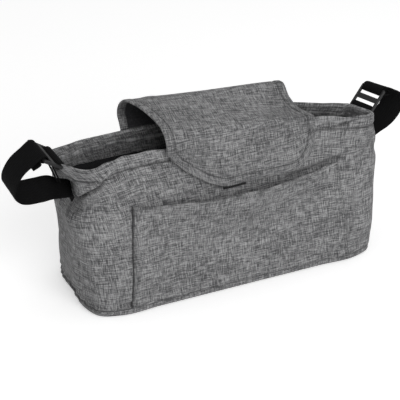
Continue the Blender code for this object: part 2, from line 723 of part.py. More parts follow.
def slider_mesh(frame, centre):
    """A plate with two slots, standing in the loop's plane and leaning out with the strap."""
    half_width = SLIDER_HALF_SLOT + SLIDER_RAIL
    half_height = SLIDER_HEIGHT / 2
    half_middle = SLIDER_MIDDLE_BAR / 2
    across_cuts = (-half_width, -SLIDER_HALF_SLOT, SLIDER_HALF_SLOT, half_width)
    along_cuts = (-half_height, -half_height + SLIDER_BAR, -half_middle,
                  half_middle, half_height - SLIDER_BAR, half_height)
    out, across, up = frame.axes(1.0)
    along = out * math.cos(frame.lean) + up * math.sin(frame.lean)
    face = across.cross(along) * -frame.side
    middle = frame.place(*centre)
    bm = bmesh.new()
    layers = []
    for thick in (-SLIDER_THICKNESS / 2, SLIDER_THICKNESS / 2):
        layers.append([[bm.verts.new(middle + across * a + along * b + face * thick)
                        for a in across_cuts] for b in along_cuts])
    slots = {(1, 1), (3, 1)}
    cells = [(row, column) for row in range(5) for column in range(3) if (row, column) not in slots]
    for row, column in cells:
        for layer in layers:
            bm.faces.new((layer[row][column], layer[row][column + 1],
                          layer[row + 1][column + 1], layer[row + 1][column]))
        for row_step, column_step, corner_a, corner_b in (
                (-1, 0, (0, 0), (0, 1)), (1, 0, (1, 0), (1, 1)),
                (0, -1, (0, 0), (1, 0)), (0, 1, (0, 1), (1, 1))):
            if (row + row_step, column + column_step) in cells:
                continue
            low, high = layers
            a_row, a_column = row + corner_a[0], column + corner_a[1]
            b_row, b_column = row + corner_b[0], column + corner_b[1]
            bm.faces.new((low[a_row][a_column], low[b_row][b_column],
                          high[b_row][b_column], high[a_row][a_column]))
    outer_corners = [(layers[0][row][column], layers[1][row][column])
                     for row in (0, 5) for column in (0, 3)]
    corner_edges = [bm.edges.get(pair) for pair in outer_corners]
    bmesh.ops.recalc_face_normals(bm, faces=bm.faces)
    bmesh.ops.bevel(bm, geom=corner_edges, offset=SLIDER_CORNER, segments=3, profile=0.5,
                    affect="EDGES")
    return bm


def build_loops(webbing_material, slider_material):
    """Both strap loops, each with its strap, its slider and the tab that holds the slider."""
    for side_name, frame, route, centre in (
            ("left", LoopFrame(-1, LEFT_ANCHOR_Y, LEFT_ANCHOR_HEIGHT, LEFT_YAW, LEFT_ROLL,
                               LEFT_SLIDER_LEAN), LEFT_ROUTE, LEFT_SLIDER_CENTRE),
            ("right", LoopFrame(1, RIGHT_ANCHOR_Y, RIGHT_ANCHOR_HEIGHT, RIGHT_YAW, RIGHT_ROLL,
                                RIGHT_SLIDER_LEAN), RIGHT_ROUTE, RIGHT_SLIDER_CENTRE)):
        strap = fine_route(*strap_route(frame, route, centre), 2)
        add_piece(side_name + "_strap", webbing(frame, *strap), webbing_material)
        tab = fine_route(*tab_route(frame, centre), 3)
        add_piece(side_name + "_slider_tab", webbing(frame, *tab), webbing_material)
        add_piece(side_name + "_slider", slider_mesh(frame, centre), slider_material)


def main():
    """Build every piece."""
    clear_scene()
    grey_cloth = plain_material("grey_cloth", (0.16, 0.16, 0.165), 0.9)
    lining = plain_material("lining", (0.02, 0.02, 0.022), 0.8)
    foam = plain_material("foam", (0.75, 0.75, 0.72), 0.95)
    board = plain_material("board", (0.03, 0.03, 0.03), 0.6)
    black_webbing = plain_material("black_webbing", (0.012, 0.012, 0.013), 0.75)
    patch = plain_material("closure", (0.01, 0.01, 0.01), 0.95)
    plastic = plain_material("slider_plastic", (0.014, 0.014, 0.015), 0.45)

    build_base(grey_cloth, board, lining)
    build_walls(grey_cloth, foam, lining)
    build_dividers(lining)
    build_pocket(grey_cloth)
    build_flap(grey_cloth, lining, patch)
    build_loops(black_webbing, plastic)


main()
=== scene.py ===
"""The pet stroller caddy, dressed: heathered grey cloth, black lining, webbing loops and sliders.

Metres, +Z up, in the part's own frame: the bag stands on its base, +X runs along it, -Y is the front.
"""
import math

import bmesh
import bpy
import numpy as np
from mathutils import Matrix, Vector, noise


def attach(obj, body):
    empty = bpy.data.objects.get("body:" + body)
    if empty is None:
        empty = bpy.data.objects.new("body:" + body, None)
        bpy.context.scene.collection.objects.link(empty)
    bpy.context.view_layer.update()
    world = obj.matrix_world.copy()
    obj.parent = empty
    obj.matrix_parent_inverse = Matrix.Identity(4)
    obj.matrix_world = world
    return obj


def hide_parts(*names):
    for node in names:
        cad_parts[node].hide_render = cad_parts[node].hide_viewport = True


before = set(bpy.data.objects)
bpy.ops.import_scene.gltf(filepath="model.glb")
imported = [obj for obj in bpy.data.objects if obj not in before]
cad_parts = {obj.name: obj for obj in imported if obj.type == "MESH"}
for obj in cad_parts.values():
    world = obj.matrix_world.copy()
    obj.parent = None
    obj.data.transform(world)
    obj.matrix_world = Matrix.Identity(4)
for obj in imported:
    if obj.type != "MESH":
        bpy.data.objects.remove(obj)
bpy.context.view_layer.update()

# Camera and studio. The bag stands on a plain white floor in even soft light, with a wide low light
# in front of it and a faint one above it, so that its folds read and its shadow stays soft.
CAMERA_PLACE = (-0.4195, -0.8449, 0.5530)
CAMERA_AZIMUTH = math.radians(25.2)
CAMERA_DIP = math.radians(27.1)
CAMERA_LENS_MM = 90.45
CAMERA_SENSOR_MM = 36.0
WHITE = (1.0, 1.0, 1.0, 1.0)
FLOOR_HALF_SIZE = 6.0
FLOOR_COLOUR = (0.88, 0.88, 0.88, 1.0)
SEEN_FLOOR_GLOW = 0.36
WORLD_LEVEL = 0.50
SEEN_WORLD_LEVEL = 1.0
LIGHT_AIM = (0.0, 0.0, 0.08)
KEY_LIGHT = {"place": (0.1, -1.9, 1.0), "size": 1.6, "power": 25.0}
TOP_LIGHT = {"place": (0.5, 0.4, 2.0), "size": 2.0, "power": 2.0}


def add_to_scene(name, data):
    """A new object that holds the data, linked into the scene."""
    made = bpy.data.objects.new(name, data)
    bpy.context.scene.collection.objects.link(made)
    return made


camera_data = bpy.data.cameras.new("camera")
camera_data.lens = CAMERA_LENS_MM
camera_data.sensor_width = CAMERA_SENSOR_MM
camera = add_to_scene("camera", camera_data)
camera.location = CAMERA_PLACE
looking = Vector((math.sin(CAMERA_AZIMUTH) * math.cos(CAMERA_DIP),
                  math.cos(CAMERA_AZIMUTH) * math.cos(CAMERA_DIP), -math.sin(CAMERA_DIP)))
camera.rotation_euler = looking.to_track_quat("-Z", "Y").to_euler()
bpy.context.scene.camera = camera
bpy.context.scene.view_settings.view_transform = "Standard"


def area_light(name, place, size, power):
    """A square soft light aimed at the middle of the bag."""
    light_data = bpy.data.lights.new(name, "AREA")
    light_data.size = size
    light_data.energy = power
    light = add_to_scene(name, light_data)
    light.location = place
    light.rotation_euler = (Vector(LIGHT_AIM) - Vector(place)).to_track_quat("-Z", "Y").to_euler()


area_light("key_light", **KEY_LIGHT)
area_light("top_light", **TOP_LIGHT)


def add_node(tree, kind, inputs=None, **settings):
    """A node with its settings and its plain input values set."""
    node = tree.nodes.new(kind)
    for name, value in settings.items():
        setattr(node, name, value)
    for name, value in (inputs or {}).items():
        node.inputs[name].default_value = value
    return node


def feed(tree, value, socket):
    """Link a socket to another one, or set it to a plain value."""
    if isinstance(value, bpy.types.NodeSocket):
        tree.links.new(value, socket)
    else:
        socket.default_value = value


def math_node(tree, operation, first, second):
    """A Math node whose inputs are sockets or plain numbers."""
    node = add_node(tree, "ShaderNodeMath", operation=operation)
    feed(tree, first, node.inputs[0])
    feed(tree, second, node.inputs[1])
    return node.outputs["Value"]


def mixed_colour(tree, factor, low, high):
    """A colour between two others, each a socket or a plain colour."""
    node = add_node(tree, "ShaderNodeMix", data_type="RGBA", clamp_factor=True)
    for name, value in (("Factor", factor), ("A", low), ("B", high)):
        feed(tree, value, node.inputs[name])
    return node.outputs["Result"]


def mapped(tree, value, low, high):
    """A value from 0 to 1 spread over the range from low to high."""
    node = add_node(tree, "ShaderNodeMapRange", {"To Min": low, "To Max": high})
    tree.links.new(value, node.inputs["Value"])
    return node.outputs["Result"]


def new_material(name, levels):
    """A material, its node tree, and its shader with its plain levels set."""
    made = bpy.data.materials.new(name)
    made.use_nodes = True
    shader = made.node_tree.nodes["Principled BSDF"]
    for socket, value in levels.items():
        shader.inputs[socket].default_value = value
    return made, made.node_tree, shader


def lit_world():
    """White where the camera looks past the bag, and a plain level of light for everything else."""
    world = bpy.data.worlds.new("studio")
    bpy.context.scene.world = world
    world.use_nodes = True
    tree = world.node_tree
    background = tree.nodes["Background"]
    background.inputs["Color"].default_value = WHITE
    seen = add_node(tree, "ShaderNodeLightPath").outputs["Is Camera Ray"]
    feed(tree, mapped(tree, seen, WORLD_LEVEL, SEEN_WORLD_LEVEL), background.inputs["Strength"])


def floor_material():
    """A matt white floor that the camera sees a touch brighter, so that only its shadow shows."""
    made, tree, shader = new_material("floor", {"Roughness": 1.0, "Specular IOR Level": 0.0,
                                                "Emission Color": WHITE})
    seen = add_node(tree, "ShaderNodeLightPath").outputs["Is Camera Ray"]
    feed(tree, mixed_colour(tree, seen, FLOOR_COLOUR, WHITE), shader.inputs["Base Color"])
    feed(tree, math_node(tree, "MULTIPLY", seen, SEEN_FLOOR_GLOW), shader.inputs["Emission Strength"])
    return made


lit_world()
floor_mesh = bpy.data.meshes.new("floor")
floor_corners = [(x * FLOOR_HALF_SIZE, y * FLOOR_HALF_SIZE, 0.0)
                 for x, y in ((-1, -1), (1, -1), (1, 1), (-1, 1))]
floor_mesh.from_pydata(floor_corners, [], [(0, 1, 2, 3)])
floor_mesh.materials.append(floor_material())
floor = add_to_scene("floor", floor_mesh)


# The bag's wall as a surface. Outer cloth, padding, lining and facing are all cut to it: a rounded
# rectangle at the base that leans in to the narrower, softly bowed mouth at the rim.
BASE_LENGTH = 0.330
BASE_DEPTH = 0.125
BASE_CORNER_RADIUS = 0.029
SEAM_HEIGHT = 0.007
RIM_HEIGHT = 0.156
RIM_CORNERS = ((-0.1800, 0.0160), (-0.1700, -0.0390), (0.1635, -0.0400), (0.1520, -0.0020))
RIM_CORNER_RADIUS = 0.007
RIM_FRONT_BOW = (-0.0070, -0.0095, -0.0120)
RIM_BACK_BOW = (0.0240, 0.0230, 0.0150)
LEAN_POWER = 1.25
FLARE_POWER = 2.5
WALL_BELLY = 0.003
OUTER_CLOTH = 0.0010
WALL_PADDING = 0.0020
LINING_CLOTH = 0.0007
CLEARANCE = 0.0003
PADDING_INSET = OUTER_CLOTH + CLEARANCE
LINING_INSET = PADDING_INSET + WALL_PADDING + CLEARANCE
INSIDE_INSET = LINING_INSET + LINING_CLOTH
CORNER_STEPS = 5
END_STEPS = 16
LONG_SIDE_STEPS = 34
LONG_SIDE_KEYS = (0.16, 0.50, 0.84)
END_KEYS = ((0.5, 0.0),)
NO_BOW = (0.0, 0.0, 0.0)
TINY = 1e-9
SMALLEST_CROSS = 1e-12


def smooth(share):
    """0 below 0, 1 above 1, and a soft ramp between."""
    share = np.clip(share, 0.0, 1.0)
    return share * share * (3.0 - 2.0 * share)


def key_slope(before, here, after):
    """Slope of a smooth curve at a key, weighted so that the nearer neighbour counts for more."""
    length_in = np.linalg.norm(here - before)
    length_out = np.linalg.norm(after - here)
    return ((here - before) / length_in * length_out
            + (after - here) / length_out * length_in) / (length_in + length_out)


def spline_span(before, start, end, after, share):
    """A point between start and end on a smooth curve through all four keys."""
    length = np.linalg.norm(end - start)
    start_slope = key_slope(before, start, end) * length
    end_slope = key_slope(start, end, after) * length
    square = share * share
    cube = square * share
    return ((2.0 * cube - 3.0 * square + 1.0) * start + (cube - 2.0 * square + share) * start_slope
            + (3.0 * square - 2.0 * cube) * end + (cube - square) * end_slope)


def open_curve(keys, steps):
    """Points of an open smooth curve, the same number of steps between each two keys."""
    keys = np.asarray(keys, dtype=float)
    padded = np.vstack([2.0 * keys[0] - keys[1], keys, 2.0 * keys[-1] - keys[-2]])
    points = [spline_span(*padded[index:index + 4], step / steps)
              for index in range(len(keys) - 1) for step in range(steps)]
    return np.array([*points, keys[-1]])


def outline_keys(corners, radius, front_bow, back_bow):
    """Key points of an outline, from the back-left corner round the left end and the front."""
    corners = [np.array(corner, dtype=float) for corner in corners]
    rounded = []
    for index, corner in enumerate(corners):
        to_last = corners[index - 1] - corner
        to_next = corners[(index + 1) % 4] - corner
        to_last /= np.linalg.norm(to_last)
        to_next /= np.linalg.norm(to_next)
        middle = corner + radius * (1.0 - math.sqrt(0.5)) * (to_last + to_next)
        rounded.append((corner + radius * to_last, middle, corner + radius * to_next))
    back_left, front_left, front_right, back_right = rounded

    def side(start, end, bows):
        along = end - start
        outward = np.array((along[1], -along[0])) / np.linalg.norm(along)
        return [start + along * share + outward * bow for share, bow in bows]

    return [back_left[1], back_left[2], *side(back_left[2], front_left[0], END_KEYS),
            *front_left, *side(front_left[2], front_right[0], zip(LONG_SIDE_KEYS, front_bow)),
            *front_right, *side(front_right[2], back_right[0], END_KEYS), *back_right,
            *side(back_right[2], back_left[0], zip(LONG_SIDE_KEYS, back_bow)), back_left[0]]


CORNER = [CORNER_STEPS, CORNER_STEPS]
END = [END_STEPS, END_STEPS]
LONG = [LONG_SIDE_STEPS] * 4
STEPS = [CORNER_STEPS, *END, *CORNER, *LONG, *CORNER, *END, *CORNER, *LONG, CORNER_STEPS]
FRONT_LEFT = sum(STEPS[:4])
FRONT_RIGHT = sum(STEPS[:10])
BACK_RIGHT = sum(STEPS[:14])


def closed_outline(keys):
    """Points of a closed outline through its keys, with STEPS of them after each key."""
    keys = np.asarray(keys, dtype=float)
    count = len(keys)
    return np.array([spline_span(*[keys[(index + shift) % count] for shift in (-1, 0, 1, 2)],
                                 step / STEPS[index])
                     for index in range(count) for step in range(STEPS[index])])


half_length, half_depth = BASE_LENGTH / 2, BASE_DEPTH / 2
BASE_OUTLINE = closed_outline(outline_keys(
    ((-half_length, half_depth), (-half_length, -half_depth),
     (half_length, -half_depth), (half_length, half_depth)),
    BASE_CORNER_RADIUS, NO_BOW, NO_BOW))
RIM_OUTLINE = closed_outline(outline_keys(RIM_CORNERS, RIM_CORNER_RADIUS, RIM_FRONT_BOW, RIM_BACK_BOW))


def outward(outline):
    """Unit normals of a closed plan outline, pointing out of the bag."""
    along = np.roll(outline, -1, axis=0) - np.roll(outline, 1, axis=0)
    normals = np.column_stack((along[:, 1], -along[:, 0]))
    return normals / np.linalg.norm(normals, axis=1)[:, None]


def wall_ring(z, inset=0.0):
    """The wall's closed outline at a height, moved inward by inset, as points in space."""
    height_share = max(0.0, (z - SEAM_HEIGHT) / (RIM_HEIGHT - SEAM_HEIGHT))
    passed = np.array((height_share ** FLARE_POWER, height_share ** LEAN_POWER))
    outline = BASE_OUTLINE + (RIM_OUTLINE - BASE_OUTLINE) * passed
    belly = WALL_BELLY * math.sin(math.pi * min(1.0, height_share))
    outline = outline + outward(outline) * (belly - inset)
    return np.column_stack((outline, np.full(len(outline), z)))


def grid_normals(grid, closed):
    """Unit normals of a grid of rows. With rows that go up and round to the right, they point out."""
    if closed:
        along = np.roll(grid, -1, axis=1) - np.roll(grid, 1, axis=1)
    else:
        along = np.gradient(grid, axis=1)
    normals = np.cross(along, np.gradient(grid, axis=0))
    length = np.linalg.norm(normals, axis=2)[:, :, None]
    return normals / np.maximum(length, SMALLEST_CROSS)


# Folds of the wall. The cloth is pinched in below the hem at the front left corner, ripples at the
# right end and where the base is sewn on, and waves softly all over, as an unfilled bag does.
HEM_DEPTH = 0.0120
HEM_SWELL = 0.0007
HEM_SOFTNESS = 0.003
STITCH_GROOVE = 0.0010
STITCH_GROOVE_WIDTH = 0.0010
BASE_PUCKER = 0.0004
BASE_PUCKER_LENGTH = 0.0085
BASE_PUCKER_REACH = 0.011
PUCKER_DRIFT = 4.0
PUCKER_DRIFT_RATE = 61.0
PUCKER_RATE = 23.0
PUCKER_STRENGTHS = (0.4, 0.6, 1.2)
END_PUCKER_REACH = 0.12
WALL_SLACK = 0.010
WALL_CAP = 0.0030
FREE_ABOVE_BASE = 0.030
FREE_BELOW_RIM = 0.045
RIM_LEEWAY = 0.006
SOFT_WAVE = 0.0018
SOFT_WAVE_LENGTH = 0.055
SOFT_WAVE_SEED = 3.1
FINE_WAVE = 0.0006
FINE_WAVE_LENGTH = 0.020
FINE_WAVE_SEED = 7.7
FINE_WAVE_STRETCH = (1.0, 1.0, 0.6)
NOISE_GAIN = 1.6
LIP_PLACE = 1.6
LIP_SINK = 0.6
# Each crease: places along it, its width, how deep it is, and the swell of the cloth above it
CREASES = (
    (((-0.1400, -0.0430, 0.1430), (-0.1450, -0.0440, 0.1385), (-0.1528, -0.0440, 0.1362),
      (-0.1610, -0.0430, 0.1345), (-0.1680, -0.0400, 0.1310), (-0.1715, -0.0300, 0.1290),
      (-0.1730, -0.0200, 0.1280)), 0.0026, 0.0085, 0.0048),
    (((-0.1750, -0.0050, 0.1080), (-0.1690, -0.0330, 0.1130), (-0.1600, -0.0470, 0.1220)),
     0.0060, 0.0022, 0.0012),
    (((0.0985, -0.0320, 0.1480), (0.1108, -0.0350, 0.1462), (0.1270, -0.0380, 0.1500)),
     0.0022, 0.0042, 0.0020),
    (((0.1560, -0.0480, 0.1240), (0.1620, -0.0420, 0.1180), (0.1650, -0.0250, 0.1150)),
     0.0070, 0.0022, 0.0010),
    (((0.0610, -0.0419, 0.1045), (0.0780, -0.0421, 0.1070), (0.0930, -0.0426, 0.1100),
      (0.1056, -0.0438, 0.1130), (0.1120, -0.0450, 0.1150), (0.1190, -0.0470, 0.1172)),
     0.0034, 0.0045, 0.0010),
    (((-0.1680, 0.0350, 0.0150), (-0.1660, -0.0300, 0.0145), (-0.1500, -0.0550, 0.0125),
      (-0.1250, -0.0625, 0.0110)), 0.0030, 0.0030, 0.0012),
)
# Each pull: where the cloth is moved, how far it reaches each way, and by how much
PULLS = (
    ((-0.1700, -0.0390, 0.1580), (0.015, 0.028, 0.013), (-0.0055, 0.0220, 0.0000)),
    ((-0.1560, -0.0420, 0.1560), (0.014, 0.020, 0.014), (0.0000, 0.0015, -0.0055)),
    ((-0.1690, -0.0440, 0.1370), (0.010, 0.014, 0.006), (-0.0040, -0.0040, -0.0015)),
    ((-0.1740, -0.0180, 0.1270), (0.030, 0.025, 0.015), (0.0165, 0.0000, 0.0000)),
    ((-0.1760, -0.0200, 0.1020), (0.010, 0.030, 0.012), (-0.0020, 0.0000, 0.0000)),
)


def near(distance, width):
    """1 at no distance, fading softly to nothing about two widths away."""
    return np.exp(-(distance / width) ** 2)


def near_line(points, line, width):
    """1 on a line of places, fading to 0 about a width away and past its ends; and the side."""
    line = np.array(line)
    best = np.full(points.shape[:-1], np.inf)
    above = np.zeros(points.shape[:-1])
    for start, end in zip(line[:-1], line[1:]):
        along = end - start
        share = np.clip(((points - start) @ along) / (along @ along), 0.0, 1.0)
        away = points - (start + share[..., None] * along)
        distance = np.linalg.norm(away, axis=-1)
        nearer = distance < best
        best = np.where(nearer, distance, best)
        above = np.where(nearer, away[..., 2], above)
    return near(best, width), near(best - LIP_PLACE * width, width) * (above > 0)


def soft_noise(points, length, seed):
    """A smooth random value from about -1 to 1 at each point, varying over the given length."""
    flat = points.reshape(-1, 3) / length
    start = Vector((seed, seed * 0.7, seed * 1.3))
    values = [noise.noise(Vector(place) + start) for place in flat]
    return np.array(values).reshape(points.shape[:-1]) * NOISE_GAIN


def puckers(arc):
    """Uneven ripples along the base seam, strongest at the left end."""
    drift = PUCKER_DRIFT * np.sin(arc * PUCKER_DRIFT_RATE)
    ripple = np.sin(2.0 * math.pi * arc / BASE_PUCKER_LENGTH + drift)
    least, uneven, at_end = PUCKER_STRENGTHS
    strength = least + uneven * np.sin(arc * PUCKER_RATE) ** 2 + at_end * near(arc, END_PUCKER_REACH)
    return BASE_PUCKER * strength * ripple


def folded(points, normals, arc):
    """The wall's cloth with its hem, stitch groove, puckers, creases and waves."""
    z = points[..., 2]
    below_rim = RIM_HEIGHT - z
    out = HEM_SWELL * smooth((HEM_DEPTH - below_rim) / HEM_SOFTNESS)
    out = out - STITCH_GROOVE * near(below_rim - HEM_DEPTH, STITCH_GROOVE_WIDTH)
    held = smooth((z - SEAM_HEIGHT) / FREE_ABOVE_BASE)
    loose = held * smooth((below_rim + RIM_LEEWAY) / FREE_BELOW_RIM)
    out = out + SOFT_WAVE * soft_noise(points, SOFT_WAVE_LENGTH, SOFT_WAVE_SEED) * loose
    fine = soft_noise(points * FINE_WAVE_STRETCH, FINE_WAVE_LENGTH, FINE_WAVE_SEED)
    out = out + FINE_WAVE * fine * held
    out = out + puckers(arc) * np.exp(-(z - SEAM_HEIGHT) / BASE_PUCKER_REACH)
    sink = np.zeros_like(out)
    for line, width, depth, swell in CREASES:
        groove, lip = near_line(points, line, width)
        out = out - depth * groove + swell * lip
        sink = sink + LIP_SINK * swell * lip
    moved = points + normals * out[..., None]
    moved[..., 2] -= sink
    for centre, reach, shift in PULLS:
        weight = np.exp(-(((points - centre) / reach) ** 2).sum(-1))
        moved = moved + weight[..., None] * np.array(shift)
    return moved


SIMULATED_FRAMES = 20
SIMULATED_GRAVITY = 0.2
SIMULATED_CLOTH = {"mass": 0.25, "tension_stiffness": 30.0, "compression_stiffness": 30.0,
                   "bending_stiffness": 0.6}


def simulated(coarse, pinned, slack):
    """How far each point of a coarse sheet of slack cloth moves while its pinned points are held."""
    rows, columns = coarse.shape[:2]
    quads = [(row * columns + column, row * columns + column + 1,
              (row + 1) * columns + column + 1, (row + 1) * columns + column)
             for row in range(rows - 1) for column in range(columns - 1)]
    mesh = bpy.data.meshes.new("settling")
    mesh.from_pydata(coarse.reshape(-1, 3).tolist(), [], quads)
    sheet = add_to_scene("settling", mesh)
    pins = sheet.vertex_groups.new(name="held")
    pins.add(np.flatnonzero(pinned.ravel()).tolist(), 1.0, "REPLACE")
    cloth = sheet.modifiers.new("cloth", "CLOTH")
    cloth.settings.vertex_group_mass = "held"
    cloth.settings.shrink_min = -slack
    cloth.settings.shrink_max = -slack
    for name, value in SIMULATED_CLOTH.items():
        setattr(cloth.settings, name, value)
    cloth.settings.effector_weights.gravity = SIMULATED_GRAVITY
    cloth.collision_settings.use_collision = False
    for frame_number in range(1, SIMULATED_FRAMES + 1):
        bpy.context.scene.frame_set(frame_number)
    settled = sheet.evaluated_get(bpy.context.evaluated_depsgraph_get()).to_mesh()
    places = np.zeros(coarse.size)
    settled.vertices.foreach_get("co", places)
    bpy.data.objects.remove(sheet, do_unlink=True)
    bpy.context.scene.frame_set(1)
    return places.reshape(coarse.shape) - coarse


def settle(grid, held, slack, cap, skip):
    """Let a sheet of slack cloth buckle between its held edges; how far each point moved.

    The simulation runs on every skip-th row and column, and its moves are spread between them.
    """
    rows, columns = (np.unique(np.append(np.arange(0, count, step), count - 1))
                     for count, step in zip(grid.shape, skip))
    coarse = np.ix_(rows, columns)
    moved = simulated(grid[coarse], held[coarse], slack)
    length = np.linalg.norm(moved, axis=2)[..., None]
    moved = moved * cap * np.tanh(length / cap) / np.maximum(length, TINY)
    across = np.stack([[np.interp(np.arange(grid.shape[1]), columns, line[:, axis])
                        for line in moved] for axis in range(3)], axis=-1)
    spread = np.stack([np.stack([np.interp(np.arange(grid.shape[0]), rows, across[:, column, axis])
                                 for column in range(grid.shape[1])], axis=1)
                       for axis in range(3)], axis=-1)
    for _ in range(max(skip)):
        spread[1:-1] = (spread[:-2] + 2.0 * spread[1:-1] + spread[2:]) / 4.0
        spread[:, 1:-1] = (spread[:, :-2] + 2.0 * spread[:, 1:-1] + spread[:, 2:]) / 4.0
    return spread


# Painted shade: how far the cloth's colour is darkened along the hem's stitch line, at the base seam and
# in the creases.
HEM_SHADE = 0.60
HEM_SHADE_WIDTH = 0.0010
BASE_SHADE = 0.60
BASE_SHADE_WIDTH = 0.0012
CREASE_SHADE_MOST = 0.7
CREASE_SHADE_FOR_DEPTH = 120.0
CREASE_SHADE_WIDTH = 0.8


def painted_seam_shade(points):
    """Painted shade: how much darker the cloth's colour is made along its hem and base seams and in its
    creases, where shade falls.
    """
    below_rim = RIM_HEIGHT - points[..., 2]
    shade = HEM_SHADE * near(below_rim - HEM_DEPTH, HEM_SHADE_WIDTH)
    shade = np.maximum(shade, BASE_SHADE * near(points[..., 2] - SEAM_HEIGHT, BASE_SHADE_WIDTH))
    for line, width, depth, _ in CREASES:
        groove, _ = near_line(points, line, width * CREASE_SHADE_WIDTH)
        shade = np.maximum(shade, min(CREASE_SHADE_MOST, depth * CREASE_SHADE_FOR_DEPTH) * groove)
    return shade


FOOT_ROWS_TOP = 0.016
MIDDLE_ROWS = (0.017, 0.118)
RIM_ROWS_FOOT = 0.119
FOOT_ROW_STEP = 0.0011
MIDDLE_ROW_STEP = 0.0022
RIM_ROW_STEP = 0.0010
WALL_ROWS = np.concatenate((np.arange(SEAM_HEIGHT, FOOT_ROWS_TOP, FOOT_ROW_STEP),
                            np.arange(*MIDDLE_ROWS, MIDDLE_ROW_STEP),
                            np.arange(RIM_ROWS_FOOT, RIM_HEIGHT - 0.4 * RIM_ROW_STEP, RIM_ROW_STEP),
                            [RIM_HEIGHT]))
WALL_SKIP = (3, 4)
ROW_TOLERANCE = 1e-6
RIM_ROUND = 0.0021
plain_wall = np.array([wall_ring(z) for z in WALL_ROWS])
along_ring = np.linalg.norm(np.roll(plain_wall, -1, axis=1) - plain_wall, axis=2)
middle_arc = np.concatenate(([0.0], np.cumsum(along_ring.mean(axis=0))))
WALL_ARC = np.repeat(middle_arc[None, :], len(WALL_ROWS), axis=0)
sewn = np.zeros(plain_wall.shape[:2], dtype=bool)
sewn[:2] = sewn[-2:] = sewn[:, :1] = sewn[:, -1:] = True
settled_wall = plain_wall + settle(plain_wall, sewn, WALL_SLACK, WALL_CAP, WALL_SKIP)
wall = folded(settled_wall, grid_normals(plain_wall, True), WALL_ARC[:, :-1])
wall_normals = grid_normals(wall, True)
wall_shade = painted_seam_shade(plain_wall)


def wall_layer(low, high, inset, rim_round=0.0):
    """The wall's rows from low to high, moved inward; rim_round curls its top edge inward."""
    rows = (WALL_ROWS > low - ROW_TOLERANCE) & (WALL_ROWS < high + ROW_TOLERANCE)
    past = np.clip((WALL_ROWS[rows] - (RIM_HEIGHT - RIM_ROUND)) / RIM_ROUND, 0.0, 1.0)
    curl = rim_round * (1.0 - np.sqrt(1.0 - past ** 2))
    return wall[rows] - wall_normals[rows] * (inset + curl)[:, None, None], rows


def wall_row(z, inset=0.0):
    """The folded wall's ring at a height between its rows, moved inward by inset."""
    place = float(np.interp(z, WALL_ROWS, np.arange(len(WALL_ROWS))))
    low = min(int(place), len(WALL_ROWS) - 2)
    share = place - low
    ring = wall[low] * (1.0 - share) + wall[low + 1] * share
    return ring - (wall_normals[low] * (1.0 - share) + wall_normals[low + 1] * share) * inset


def front_y(x, z, inset=0.0):
    """Y of the folded front wall at a place along the bag and a height."""
    ring = wall_row(z, inset)[FRONT_LEFT:FRONT_RIGHT + 1]
    return np.interp(x, ring[:, 0], ring[:, 1])


def back_y(x, z, inset=0.0):
    """Y of the folded back wall at a place along the bag and a height."""
    ring = wall_row(z, inset)[BACK_RIGHT:][::-1]
    return np.interp(x, ring[:, 0], ring[:, 1])


# Grey cloth. A heathered crosshatch weave of dark and light yarns, matt, with a little fuzz: the
# same cloth makes the outer panels, the facing, the pocket, the flap and the base.
GREY_DARK = (0.052, 0.052, 0.054, 1.0)
GREY_MID = (0.162, 0.162, 0.165, 1.0)
GREY_LIGHT = (0.345, 0.345, 0.346, 1.0)
GREY_WEAVE = {"yarn": 0.00085, "contrast": 1.85, "relief": 0.00015, "sheen": 0.10}
CLOTH_MAP = "cloth"
# The attribute in which each cloth piece carries its painted shade of seams and creases.
PAINTED_SHADE_MAP = "painted_seam_shade"
# Each noise of the weave: its length each way in yarns, its detail, and where it is read
WARP_STREAKS = ((0.70, 10.0), 0.6, 11.0)
WEFT_STREAKS = ((12.0, 0.70), 0.6, 37.0)
SLUBS = ((0.9, 0.9), 0.5, 71.0)
BLOTCHES = ((40.0, 22.0), 2.0, 53.0)
SLUB_SHARE = 0.4
BLOTCH_SHARE = 0.3
MIX_MIDDLE = 1.35
NOISE_ROUGHNESS = 0.55
THREAD_SHARE = 0.35
# The dark that the painted shade of seams and creases mixes the cloth's colour towards.
PAINTED_SHADE_DARK = (0.008, 0.008, 0.009, 1.0)
CLOTH_ROUGHNESS = 0.82
CLOTH_ROUGHNESS_SWING = 0.10
CLOTH_SPECULAR = 0.15
CLOTH_SHEEN_ROUGHNESS = 0.6
CLOTH_BUMP = 0.5


def stretched_noise(tree, place, scale, detail, shift):
    """Noise read from a map in metres, with its own length each way."""
    mapping = add_node(tree, "ShaderNodeMapping", {"Scale": (1.0 / scale[0], 1.0 / scale[1], 1.0),
                                                   "Location": (shift, shift * 0.37, shift * 0.71)})
    made = add_node(tree, "ShaderNodeTexNoise", {"Scale": 1.0, "Detail": detail,
                                                 "Roughness": NOISE_ROUGHNESS})
    tree.links.new(place, mapping.inputs["Vector"])
    tree.links.new(mapping.outputs["Vector"], made.inputs["Vector"])
    return made.outputs["Fac"]


